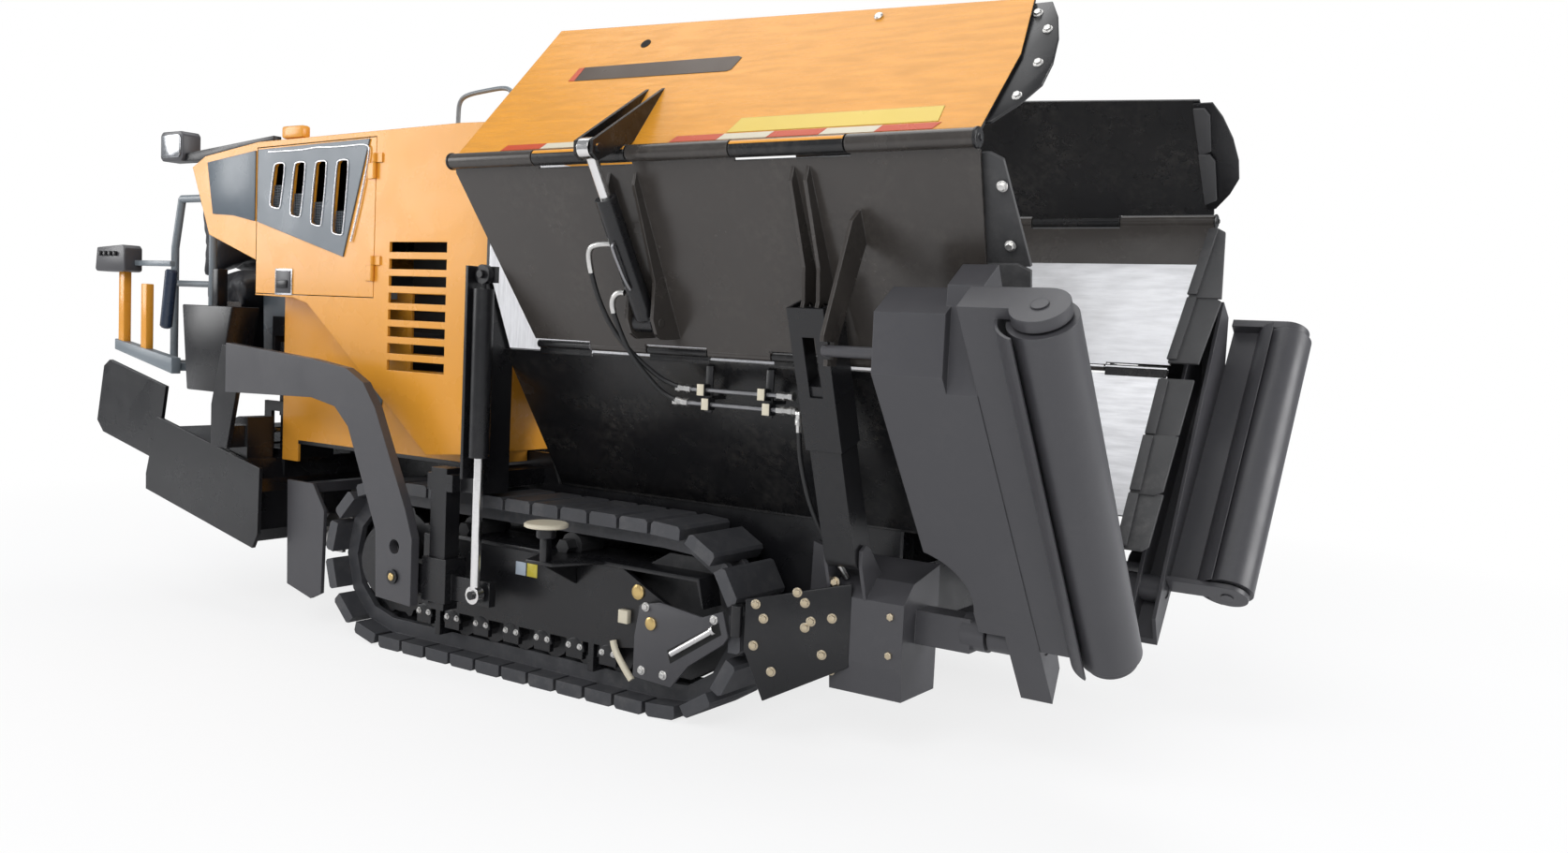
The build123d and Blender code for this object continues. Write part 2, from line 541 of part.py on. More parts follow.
def make_hoist_channel():
    """Upper hoist channel, open towards the wing, with the pin that runs in the wing's ribs."""
    plane, length = hoist_plane()
    w, d, t = HOIST_WIDTH / 2, HOIST_DEPTH / 2, HOIST_WALL
    channel = block(-w, w, -d, d, length - SLEEVE_LENGTH, length + 28) - block(t - w, w - t, -d - 1, d - t, length - SLEEVE_LENGTH - 1, length + 29)
    channel -= block(-22, 22, 0, d + 1, length - 245, length - 60)
    channel += Pos(0, 0, length) * (Rot(0, 90, 0) * Cylinder(HOIST_PIN_R, 2 * w))
    return plane * channel


# ---- push-roller carriers -------------------------------------------------------------------------
def folded(shape):
    """Swing a carrier piece from level up to its folded place."""
    return shape.rotate(Axis((0, CARRIER_Y, CARRIER_Z), (1, 0, 0)), CARRIER_LEAN)


def level_box(x0, x1, outline, wall):
    """Open-backed box arm with an outline given as reach from the pivot and height above it."""
    box = cross_profile([(CARRIER_Y + r, CARRIER_Z + h) for r, h in outline], x0, x1)
    r0, r1 = min(r for r, h in outline) + wall, max(r for r, h in outline) - wall
    h0 = min(h for r, h in outline) + wall
    knee = outline[2]
    inner = [(r0, h0), (outline[1][0] - 6, h0), (r1, knee[1] + 10), (r1, 400), (r0, 400)]
    return box - cross_profile([(CARRIER_Y + r, CARRIER_Z + h) for r, h in inner], x0 + wall, x1 - wall)


def make_carrier():
    """Two box arms, hub and latch pin of the left carrier, drawn level and then folded up."""
    wall = 14
    rear_box = level_box(BOX_REAR, BOX_SEAM + wall, [(60, BOX_OUT), (988, BOX_OUT), (1122, 41), (1122, 164), (60, 40)], wall)
    rear_box -= rod((1800, CARRIER_Y + 190, CARRIER_Z - 300), (1800, CARRIER_Y + 190, CARRIER_Z + 300), 180)
    rear_box -= block(1850, 1972, CARRIER_Y, CARRIER_Y + 192, CARRIER_Z - 300, CARRIER_Z + 300)
    front_box = level_box(BOX_SEAM, BOX_FRONT, [(-200, BOX_OUT), (937, BOX_OUT), (1166, 109), (1166, 210), (-140, 40)], wall)
    hub = rod((1985, CARRIER_Y, CARRIER_Z), (BOX_FRONT, CARRIER_Y, CARRIER_Z), 50)
    arm = fused([rear_box, front_box, hub])
    arm -= rod((1900, CARRIER_Y, CARRIER_Z), (BOX_FRONT + 10, CARRIER_Y, CARRIER_Z), CARRIER_PIN_R + PIN_FIT)
    arm = folded(arm)
    pin = rod((LATCH_X - 14, LATCH_Y, LATCH_Z), (BOX_REAR + 10, LATCH_Y, LATCH_Z), LATCH_PIN_R)
    return arm + pin


def make_roller_brackets():
    """End brackets and the curved shield behind the roller."""
    axis_z = CARRIER_Z + ROLLER_HIGH
    parts = []
    for y0, y1 in ((CARRIER_Y + ROLLER_IN - 26, CARRIER_Y + ROLLER_IN - 8), (CARRIER_Y + ROLLER_OUT + 8, CARRIER_Y + ROLLER_OUT + 40)):
        plate = block(BOX_FRONT, ROLLER_X, y0, y1, axis_z - 20, axis_z + 74)
        plate += rod((ROLLER_X, y0, axis_z), (ROLLER_X, y1, axis_z), 74)
        plate -= rod((ROLLER_X, y0 - 1, axis_z), (ROLLER_X, y1 + 1, axis_z), ROLLER_SHAFT_R + PIN_FIT)
        parts.append(plate)
    y0, y1 = CARRIER_Y + ROLLER_IN - 10, CARRIER_Y + ROLLER_OUT + 10
    shield = rod((ROLLER_X, y0, axis_z), (ROLLER_X, y1, axis_z), ROLLER_R + 26)
    shield -= rod((ROLLER_X, y0 - 1, axis_z), (ROLLER_X, y1 + 1, axis_z), ROLLER_R + 18)
    shield -= block(ROLLER_X - 40, ROLLER_X + 200, y0 - 1, y1 + 1, axis_z - 200, axis_z + 200)
    back = block(BOX_FRONT, ROLLER_X - ROLLER_R - 16, y0, y1, axis_z - 20, axis_z + 30)
    shield += back - rod((ROLLER_X, y0 - 1, axis_z), (ROLLER_X, y1 + 1, axis_z), ROLLER_R + 18)
    return folded(fused(parts + [shield]))


def make_push_roller():
    """Steel roller turning on its end shafts."""
    axis_z = CARRIER_Z + ROLLER_HIGH
    y0, y1 = CARRIER_Y + ROLLER_IN, CARRIER_Y + ROLLER_OUT
    body = rod((ROLLER_X, y0, axis_z), (ROLLER_X, y1, axis_z), ROLLER_R)
    shaft = rod((ROLLER_X, y0 - 30, axis_z), (ROLLER_X, y1 + 44, axis_z), ROLLER_SHAFT_R)
    return folded(body + shaft)


def make_front_corner():
    """Corner box, bolted side plate, hoist ears and the pivot arm that carries the left roller carrier."""
    box = cross_profile([(CHASSIS_HALF, 200), (690, 200), (700, 300), (700, 500), (640, 560), (CHASSIS_HALF, 600)], 1490, 1745)
    arm = block(1745, 1930, CARRIER_Y - 45, CARRIER_Y + 45, CARRIER_Z - 60, CARRIER_Z + 45)
    boss = rod((1900, CARRIER_Y, CARRIER_Z), (1977, CARRIER_Y, CARRIER_Z), 56)
    pin = rod((1970, CARRIER_Y, CARRIER_Z), (BOX_FRONT - 4, CARRIER_Y, CARRIER_Z), CARRIER_PIN_R)
    plate = side_profile([(1280, 180), (1500, 210), (1500, 560), (1290, 620)], CHASSIS_HALF, CHASSIS_HALF + 30)
    half = HOIST_WIDTH / 2 - HOIST_WALL
    ears = [cross_profile([(600, 560), (695, 480), (HOIST_BASE_Y + 24, HOIST_BASE_Z - 30), (HOIST_BASE_Y + 26, HOIST_BASE_Z + 14),
                           (HOIST_BASE_Y, HOIST_BASE_Z + 30), (HOIST_BASE_Y - 26, HOIST_BASE_Z + 16)], x, x + 12)
            for x in (HOIST_X - half - 14, HOIST_X + half + 2)]
    ear_pin = rod((HOIST_X - half - 14, HOIST_BASE_Y, HOIST_BASE_Z), (HOIST_X + half + 14, HOIST_BASE_Y, HOIST_BASE_Z), HOIST_PIN_R)
    return fused([box, arm, boss, pin, plate, ear_pin] + ears)


# ---- hood and engine ------------------------------------------------------------------------------
HOOD_SIDE = [
    (-1742, 1898), (-1615, 1610), (-1285, 1505), (-1285, 1360), (-1035, 1355), (-945, 1335), (-226, 788), (-31, 806),
    (-31, 1490), (110, 1490), (110, 2005), (-91, 2009), (-1281, 1988), (-1650, 1942),
]
HOOD_LOW = [(-1245, 670), (-1140, 670), (-1140, HOOD_LOW_Z), (-60, HOOD_LOW_Z), (-60, 1400), (-1245, 1400)]
HOOD_WALL = 12
DOOR = [(-1283, 1368), (-545, 1368), (-545, 1978), (-1283, 1962)]
PANEL = [(-1273, 1662), (-1273, 1955), (-579, 1972), (-723, 1522)]
PANEL_T = 6
DOOR_HINGE_X, DOOR_HINGE_Y = DOOR[1][0] + 1.5, HOOD_HALF + 8.5
DOOR_HINGES_Z = (1430, 1820)
DOOR_HINGE_R, DOOR_PIN_R = 8, 4
LOUVRES = 8
LOUVRE_TOP_Z, LOUVRE_STEP, LOUVRE_HIGH = 1580, 64, 38
LOUVRE_X = (-455, -140)


def grown(points, by):
    """A convex outline moved outward from its middle."""
    mx = sum(x for x, z in points) / len(points)
    mz = sum(z for x, z in points) / len(points)
    return [(x + by if x > mx else x - by, z + by if z > mz else z - by) for x, z in points]


def vent_slots():
    """The four slanted slots through the left door and its panel."""
    slots = []
    for i in range(4):
        x, low, high = -1165 + i * 132, 1712 - i * 36, 1896
        outline = [(x, high - 12), (x + 12, high), (x + 62, high + 2), (x + 74, high - 10), (x + 48, low + 8), (x + 36, low), (x - 12, low + 8), (x - 24, low + 20)]
        slots.append(side_profile(outline, HOOD_HALF - 30, HOOD_HALF + 20))
    return slots


def make_hood():
    """Hollow engine hood with louvres, open below, with a doorway on each side."""
    t = HOOD_WALL
    inner_points = [(-1725, 1886), (-1603, 1622), (-1273, 1515), (-1273, 1372), (-1033, 1367), (-939, 1346), (-221, 700), (-43, 700),
                    (-43, 1502), (98, 1502), (98, 1992), (-91, 1996), (-1280, 1975), (-1644, 1930)]
    hood = side_profile(HOOD_SIDE, -HOOD_HALF, HOOD_HALF) - side_profile(inner_points, t - HOOD_HALF, HOOD_HALF - t)
    low = side_profile(HOOD_LOW, -HOOD_LOW_HALF, HOOD_LOW_HALF) - side_profile(
        [(-1233, 600), (-72, 600), (-72, 1388), (-1233, 1388)], t - HOOD_LOW_HALF, HOOD_LOW_HALF - t)
    hood += low
    hood -= block(-1233, -72, t - HOOD_LOW_HALF, HOOD_LOW_HALF - t, 600, 1620)
    hood -= block(-1400, 0, -CHASSIS_HALF - 5, CHASSIS_HALF + 5, 600, CHASSIS_HIGH + 6)
    hood -= block(-1400, -1200, -CHASSIS_HALF - 5, CHASSIS_HALF + 5, 600, 1060)
    hood -= fused([block(LOUVRE_X[0], LOUVRE_X[1], -HOOD_HALF - 5, HOOD_HALF + 5, z - LOUVRE_HIGH, z)
                   for z in [LOUVRE_TOP_Z - i * LOUVRE_STEP for i in range(LOUVRES)]])
    hood -= side_profile(grown(DOOR, 3), -HOOD_HALF - 5, HOOD_HALF + 5)
    for z in DOOR_HINGES_Z:
        hinge = rod((DOOR_HINGE_X, DOOR_HINGE_Y, z + 61), (DOOR_HINGE_X, DOOR_HINGE_Y, z + 96), DOOR_HINGE_R)
        hinge += rod((DOOR_HINGE_X, DOOR_HINGE_Y, z), (DOOR_HINGE_X, DOOR_HINGE_Y, z + 96), DOOR_PIN_R)
        hinge += block(DOOR_HINGE_X, DOOR_HINGE_X + 40, HOOD_HALF - 1, HOOD_HALF + 6, z + 61, z + 96)
        hood += hinge + hinge.mirror(Plane.XZ)
    return hood


def make_hood_door():
    """Left side door with its vent slots, hinged on its front edge."""
    door = side_profile(DOOR, HOOD_HALF - HOOD_WALL, HOOD_HALF)
    door -= fused(vent_slots())
    for z in DOOR_HINGES_Z:
        door += block(DOOR[1][0] - 40, DOOR_HINGE_X, HOOD_HALF - 1, HOOD_HALF + 6, z, z + 60)
        door += rod((DOOR_HINGE_X, DOOR_HINGE_Y, z), (DOOR_HINGE_X, DOOR_HINGE_Y, z + 60), DOOR_HINGE_R)
        door -= rod((DOOR_HINGE_X, DOOR_HINGE_Y, z - 1), (DOOR_HINGE_X, DOOR_HINGE_Y, z + 61), DOOR_PIN_R + PIN_FIT)
    return door


def make_vent_panel():
    """Dark slotted panel on the left door."""
    return side_profile(PANEL, HOOD_HALF, HOOD_HALF + PANEL_T) - fused(vent_slots())


# ---- tow points, arms and screed ------------------------------------------------------------------
GUIDE_X = (-80, 0)
GUIDE_Y = (872, 938)
LEVEL_X, LEVEL_Y = 175, 952
LEVEL_TOP_Z, LEVEL_EYE_Z = 1460, 333


def make_tow_guide():
    """Vertical guide column outside the left track, the beam that carries it and the levelling cylinder's hanger."""
    column = block(GUIDE_X[0], GUIDE_X[1], GUIDE_Y[0], GUIDE_Y[1], 245, 763)
    beam = block(GUIDE_X[0] - 20, GUIDE_X[1] + 30, CHASSIS_HALF, GUIDE_Y[1], 680, 742)
    hanger = block(118, 130, 760, 985, 742, 1488)
    foot = block(GUIDE_X[1] + 20, 130, 760, 900, 680, 742)
    lug = block(128, 212, LEVEL_Y - 34, LEVEL_Y - 14, LEVEL_TOP_Z - 28, LEVEL_TOP_Z + 28)
    lug += rod((LEVEL_X, LEVEL_Y - 30, LEVEL_TOP_Z), (LEVEL_X, LEVEL_Y + 24, LEVEL_TOP_Z), 14)
    return fused([column, beam, foot, hanger, lug])


def make_level_barrel():
    """Levelling cylinder's barrel, hung from its upper eye."""
    tube = rod((LEVEL_X, LEVEL_Y, LEVEL_TOP_Z - 50), (LEVEL_X, LEVEL_Y, 820), 36)
    tube += rod((LEVEL_X, LEVEL_Y, LEVEL_TOP_Z - 50), (LEVEL_X, LEVEL_Y, LEVEL_TOP_Z - 16), 11)
    tube -= rod((LEVEL_X, LEVEL_Y, 1350), (LEVEL_X, LEVEL_Y, 810), 18 + PIN_FIT)
    tube += eye_ring(Vector(LEVEL_X, LEVEL_Y, LEVEL_TOP_Z), Vector(0, 1, 0), 34, 8, 22)
    tube -= rod((LEVEL_X, LEVEL_Y - 40, LEVEL_TOP_Z), (LEVEL_X, LEVEL_Y + 40, LEVEL_TOP_Z), 14 + PIN_FIT)
    return tube


def make_tow_block():
    """Tow head that slides on the guide column, with its forward lug for the levelling rod."""
    sleeve = block(GUIDE_X[0] - 22, GUIDE_X[1] + 22, GUIDE_Y[0] - 16, GUIDE_Y[1] + 14, 275, 435)
    sleeve -= block(GUIDE_X[0] - SOLID_FIT, GUIDE_X[1] + SOLID_FIT, GUIDE_Y[0] - SOLID_FIT, GUIDE_Y[1] + SOLID_FIT, 200, 500)
    lug = block(TOW_X - 50, GUIDE_X[0] - 20, GUIDE_Y[0] + 16, GUIDE_Y[1] + 8, TOW_Z - 55, TOW_Z + 55)
    pin = rod((TOW_X, GUIDE_Y[0], TOW_Z), (TOW_X, GUIDE_Y[1] + 66, TOW_Z), 26)
    forward = block(GUIDE_X[1] + 20, LEVEL_X + 40, LEVEL_Y - 60, LEVEL_Y - 30, LEVEL_EYE_Z - 45, LEVEL_EYE_Z + 45)
    stud = rod((LEVEL_X, LEVEL_Y - 62, LEVEL_EYE_Z), (LEVEL_X, LEVEL_Y + 24, LEVEL_EYE_Z), 15)
    return fused([sleeve, lug, pin, forward, stud])


def make_level_rod():
    """Levelling rod with its lower eye."""
    bar = rod((LEVEL_X, LEVEL_Y, LEVEL_EYE_Z + 20), (LEVEL_X, LEVEL_Y, 1080), 18)
    bar += eye_ring(Vector(LEVEL_X, LEVEL_Y, LEVEL_EYE_Z), Vector(0, 1, 0), 32, 12, 30)
    bar -= rod((LEVEL_X, LEVEL_Y - 40, LEVEL_EYE_Z), (LEVEL_X, LEVEL_Y + 40, LEVEL_EYE_Z), 15 + PIN_FIT)
    return bar


ARM_Y = (GUIDE_Y[1] + 20, GUIDE_Y[1] + 20 + TOW_ARM_T)


def make_tow_arm():
    """Gooseneck arm plate from the tow pin back to the screed."""
    outline = [
        (-310, 508), (-301, 262), (-112, 252), (-112, 500), (-150, 600), (-330, 960), (-400, 1050), (-500, 1098), (-700, 1122),
        (-1250, 1160), (-1250, 960), (-700, 975), (-560, 950), (-480, 880),
    ]
    arm = side_profile(outline, ARM_Y[0], ARM_Y[1])
    arm -= rod((TOW_X, 800, TOW_Z), (TOW_X, 1100, TOW_Z), 26 + PIN_FIT)
    arm -= rod((TOW_X, 800, TOW_Z + 110), (TOW_X, 1100, TOW_Z + 110), 27)
    return arm


def raised(shape):
    """Swing a screed piece from level up to its transport place."""
    return shape.rotate(Axis((TOW_X, 0, TOW_Z), (0, 1, 0)), SCREED_RAISED)


def make_screed():
    """Main screed body with its arm brackets and the slotted lift plates."""
    z = SCREED_DOWN_Z + 20
    outline = [
        (-1215, z), (-1560, z), (-1560, z + 240), (-1500, z + 330), (-1315, z + 330), (-1284, z + 251), (-1225, z + 215),
        (-1190, z + 60),
    ]
    body = side_profile(outline, -SCREED_HALF, SCREED_HALF)
    parts = [raised(body)]
    y0, y1 = ARM_Y[0] - 20, ARM_Y[0]
    for s in (-1, 1):
        upright = side_profile([(-1280, 660), (-1400, 660), (-1400, 830), (-1340, 850), (-1280, 850)], s * 745, s * SCREED_HALF)
        beam = block(-1400, -1290, s * 740, s * y1, 725, 815)
        bracket = side_profile([(-1290, 725), (-1400, 725), (-1400, 900), (-1330, 1150), (-1120, 1130), (-1120, 985), (-1230, 965)], s * y0, s * y1)
        wide, high = LIFT_SLOT
        plate = block(LIFT_X - 80, LIFT_X + 62, s * LIFT_PLATE_Y, s * (LIFT_PLATE_Y + 16), 600, 912)
        plate -= block(LIFT_X - wide / 2, LIFT_X + wide / 2, s * (LIFT_PLATE_Y - 1), s * (LIFT_PLATE_Y + 17), LIFT_EYE_Z - high / 2, LIFT_EYE_Z + high / 2)
        tie = block(-1400, LIFT_X - wide / 2 - 4, s * LIFT_PLATE_Y, s * 760, 690, 760)
        parts += [upright, beam, bracket, plate, tie]
    return fused(parts)


def make_extension():
    """Left extending screed with its end plate, behind the main screed."""
    z = SCREED_DOWN_Z + 20
    body = side_profile([(-1572, z), (-1950, z), (-1960, z + 150), (-1900, z + 300), (-1620, z + 300), (-1572, z + 220)], 12, SCREED_HALF)
    end = side_profile([(-1170, z - 8), (-1970, z - 8), (-1985, z + 60), (-1960, z + 330), (-1200, z + 330), (-1150, z + 60)], SCREED_HALF + 8, SCREED_HALF + 24)
    join = block(-1600, -1900, SCREED_HALF - 2, SCREED_HALF + 10, z + 10, z + 280)
    step = side_profile([(-1985, z + 120), (STEP_REAR + 60, z + 120), (STEP_REAR, z + 160), (STEP_REAR, z + 420), (STEP_REAR + 40, z + 460), (-1985, z + 460)], SCREED_HALF - 30, SCREED_HALF - 14)
    bar = block(-1940, -2020, SCREED_HALF - 40, SCREED_HALF + 10, z + 170, z + 210)
    shoes = [block(-1580, -1560 - SOLID_FIT, 30, SCREED_HALF, z + h, z + h + 40) for h in (20, 170)]
    return raised(fused([body, end, join, step, bar] + shoes))


def make_lift_barrel():
    """Screed lift cylinder's barrel, hung from its upper eye."""
    top, low = LIFT_TOP_Z - 60, LIFT_EYE_Z + 60
    tube = rod((LIFT_X, LIFT_Y, top), (LIFT_X, LIFT_Y, low), LIFT_BARREL_R)
    tube += rod((LIFT_X, LIFT_Y, top), (LIFT_X, LIFT_Y, LIFT_TOP_Z - 16), 11)
    tube -= rod((LIFT_X, LIFT_Y, top - 15), (LIFT_X, LIFT_Y, low - 1), LIFT_ROD_R + PIN_FIT)
    tube += eye_ring(Vector(LIFT_X, LIFT_Y, LIFT_TOP_Z), Vector(0, 1, 0), 28, 8, 24)
    tube -= rod((LIFT_X, LIFT_Y - 40, LIFT_TOP_Z), (LIFT_X, LIFT_Y + 40, LIFT_TOP_Z), LIFT_PIN_R + PIN_FIT)
    return tube


def make_lift_rod():
    """Screed lift cylinder's rod with the cross pin that runs in the screed's slot."""
    bar = rod((LIFT_X, LIFT_Y, LIFT_EYE_Z - 18), (LIFT_X, LIFT_Y, LIFT_TOP_Z - 80), LIFT_ROD_R)
    bar += rod((LIFT_X, LIFT_Y, LIFT_EYE_Z), (LIFT_X, LIFT_PLATE_Y + 26, LIFT_EYE_Z), LIFT_PIN_R)
    return bar


def make_lift_bracket():
    """Bracket that carries the left lift cylinder's upper pin."""
    x0, x1 = LIFT_X - 75, LIFT_X + 34
    arm = block(x0, x1, LIFT_Y + 14, LIFT_Y + 28, LIFT_TOP_Z - 34, LIFT_TOP_Z + 50)
    arm += block(x0, x1, LIFT_Y - 28, LIFT_Y - 14, LIFT_TOP_Z - 34, LIFT_TOP_Z + 50)
    arm += block(x0, x1, LIFT_Y - 28, LIFT_Y + 28, LIFT_TOP_Z + 38, LIFT_TOP_Z + 50)
    arm += rod((LIFT_X, LIFT_Y - 34, LIFT_TOP_Z), (LIFT_X, LIFT_Y + 34, LIFT_TOP_Z), LIFT_PIN_R)
    arm += block(x0, x0 + 16, LIFT_Y - 28, LIFT_Y + 28, 1045, LIFT_TOP_Z + 50)
    return arm


def make_rear_guard():
    """Chamfered guard plate behind the left track, with the auger's outer bearing stub."""
    plate = side_profile([(-1095, 604), (-930, 604), (-855, 500), (-865, 160), (-930, 130), (-1085, 170)], 790, 806)
    plate += block(-1000, -950, CHASSIS_HALF, 792, 562, 602)
    plate += block(-1000, -950, CHASSIS_HALF, CHASSIS_HALF + 20, 562, 740)
    plate += rod((AUGER_X, AUGER_OUT - 28, AUGER_Z), (AUGER_X, 791, AUGER_Z), AUGER_STUB_R)
    return plate


def make_auger():
    """Left spreading auger: an eight-sided shaft with stepped blades, running on a stub at each end."""
    shaft = side_profile([(AUGER_X + 36 * cos(pi / 8 + i * pi / 4), AUGER_Z + 36 * sin(pi / 8 + i * pi / 4)) for i in range(8)], AUGER_IN, AUGER_OUT)
    steps, a_turn = 24, 8
    parts = [shaft]
    for i in range(steps):
        y = AUGER_IN + 24 + (AUGER_OUT - AUGER_IN - 48) * i / (steps - 1)
        blade = Box(AUGER_R, 16, 96, align=(Align.MIN, Align.CENTER, Align.CENTER))
        parts.append(Pos(AUGER_X, y, AUGER_Z) * (Rot(0, 360 / a_turn * i, 0) * blade))
    auger = fused(parts)
    for y0, y1 in ((AUGER_IN - 1, AUGER_IN + 32), (AUGER_OUT - 30, AUGER_OUT + 1)):
        auger -= rod((AUGER_X, y0, AUGER_Z), (AUGER_X, y1, AUGER_Z), AUGER_STUB_R + PIN_FIT)
    return auger


DECK_Z = 1050


def make_platform():
    """Operator's deck behind the hood with its side members and the lift cylinders' brackets."""
    deck = block(-2080, -1380, -735, 735, DECK_Z - 40, DECK_Z)
    profile = [(-2060, 940), (-2060, 1012), (CHASSIS_REAR + 80, 1012), (CHASSIS_REAR + 80, 720), (CHASSIS_REAR, 720), (CHASSIS_REAR - 50, 940)]
    members = [side_profile(profile, s * 420, s * 450) for s in (-1, 1)]
    bracket = make_lift_bracket()
    return fused([deck] + members + [bracket, bracket.mirror(Plane.XZ)])


def make_console():
    """Operator's console across the deck, under the hood's rear end."""
    return side_profile([(-1320, DECK_Z), (-1620, DECK_Z), (-1640, 1560), (-1610, 1596), (-1320, 1500)], -560, 560)


def make_seat(part):
    """Left seat: cushion, back or base."""
    if part == "base":
        return block(-1960, -1720, 330, 610, DECK_Z, 1330)
    if part == "cushion":
        return block(-1965, -1650, 290, 650, 1330, 1430)
    return side_profile([(-1930, 1430), (-1990, 1430), (-2050, 1850), (-1990, 1850)], 300, 640)


def make_rails():
    """Handrails beside the platform."""
    parts = []
    for s in (-1, 1):
        parts.append(rod((-2060, s * 720, DECK_Z), (-2060, s * 720, 1560), 17))
        parts.append(rod((-2060, s * 720, 1560), (-2010, s * 720, 1780), 17))
        parts.append(rod((-2010, s * 720, 1780), (-1770, s * 720, 1780), 17))
        parts.append(rod((-1770, s * 720, 1790), (-1770, s * 720, DECK_Z), 17))
        parts.append(rod((-2060, s * 720, 1400), (-1770, s * 720, 1400), 14))
    return parts


def make_engine():
    """Engine and pumps as one plain block."""
    return block(-1150, -150, -360, 360, ENGINE_Z, 1400)


def make_conveyor():
    """Left drag-slat floor, from the hopper's front through the tunnel, with its slats."""
    parts = [block(HOPPER_REAR - 120, HOPPER_FRONT - 120, 60, 430, HOPPER_FLOOR_Z, HOPPER_FLOOR_Z + 8)]
    for i in range(9):
        x = HOPPER_REAR + 60 + i * 205
        parts.append(block(x, x + 40, 62, 428, HOPPER_FLOOR_Z + 6, HOPPER_FLOOR_Z + 34))
    return fused(parts)


# ---- write every node -----------------------------------------------------------------------------
SINGLE_NODES = {
    "chassis_frame": make_chassis,
    "hopper_base": make_hopper_base,
    "engine_hood": make_hood,
    "engine_block": make_engine,
    "operator_platform": make_platform,
    "operator_console": make_console,
    "platform_rails": lambda: fused(make_rails()),
    "main_screed": make_screed,
}
PAIR_NODES = {
    "conveyors": make_conveyor,
    "sprockets": make_sprocket,
    "track_rollers": lambda: Compound(make_track_rollers()),
    "track_frames": make_track_frame,
    "front_corners": make_front_corner,
    "rear_guards": make_rear_guard,
    "tow_guides": make_tow_guide,
    "level_barrels": make_level_barrel,
    "tow_heads": make_tow_block,
    "level_rods": make_level_rod,
    "tow_arms": make_tow_arm,
    "lift_barrels": make_lift_barrel,
    "lift_rods": make_lift_rod,
    "seat_bases": lambda: make_seat("base"),
    "seat_cushions": lambda: make_seat("cushion"),
    "seat_backs": lambda: make_seat("back"),
}
SIDE_NODES = {
    "track": make_track,
    "wing_floor": make_wing,
    "wing_wall": make_wing_wall,
    "wall_cylinder_barrel": make_wing_barrel,
    "wall_cylinder_rod": make_wing_rod,
    "hoist_post": make_hoist_post,
    "hoist_channel": make_hoist_channel,
    "roller_carrier": make_carrier,
    "roller_brackets": make_roller_brackets,
    "push_roller": make_push_roller,
    "hood_door": make_hood_door,
    "vent_panel": make_vent_panel,
    "screed_extension": make_extension,
    "auger": make_auger,
}
for name, make in SINGLE_NODES.items():
    write(make(), name)
for name, make in PAIR_NODES.items():
    write(both(make()), name)
for name, make in SIDE_NODES.items():
    shape = make()
    for side_name, side in SIDES:
        write(on_side(shape, side), f"{name}_{side_name}")
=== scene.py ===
"""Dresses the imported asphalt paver: finishes for its steel, and the pieces that are modelled over it."""

import json
import logging
import math
from dataclasses import dataclass
from enum import Enum

import bpy
from mathutils import Matrix, Vector

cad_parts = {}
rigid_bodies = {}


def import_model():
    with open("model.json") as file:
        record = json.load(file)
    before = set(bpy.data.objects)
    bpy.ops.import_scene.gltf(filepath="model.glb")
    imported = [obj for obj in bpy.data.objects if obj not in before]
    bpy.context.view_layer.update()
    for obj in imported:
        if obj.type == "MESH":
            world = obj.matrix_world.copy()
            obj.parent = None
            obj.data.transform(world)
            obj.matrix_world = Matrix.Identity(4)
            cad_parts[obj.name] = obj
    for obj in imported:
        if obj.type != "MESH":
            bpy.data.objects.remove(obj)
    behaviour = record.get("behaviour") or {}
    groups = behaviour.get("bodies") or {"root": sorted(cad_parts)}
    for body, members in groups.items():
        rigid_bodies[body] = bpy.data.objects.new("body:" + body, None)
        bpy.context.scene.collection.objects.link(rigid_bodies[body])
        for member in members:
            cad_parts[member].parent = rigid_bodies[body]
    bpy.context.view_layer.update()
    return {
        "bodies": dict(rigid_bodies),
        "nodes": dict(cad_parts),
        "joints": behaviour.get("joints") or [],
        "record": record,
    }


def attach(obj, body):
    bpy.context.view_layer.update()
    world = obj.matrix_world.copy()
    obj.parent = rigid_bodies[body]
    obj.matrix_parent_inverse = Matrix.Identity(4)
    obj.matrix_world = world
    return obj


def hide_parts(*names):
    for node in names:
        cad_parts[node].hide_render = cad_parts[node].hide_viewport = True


LOG = logging.getLogger("paver")
Point = tuple[float, float, float]
Tone = tuple[float, float, float]
Outline = tuple[tuple[float, float], ...]
Socket = bpy.types.NodeSocket
Thing = bpy.types.Object


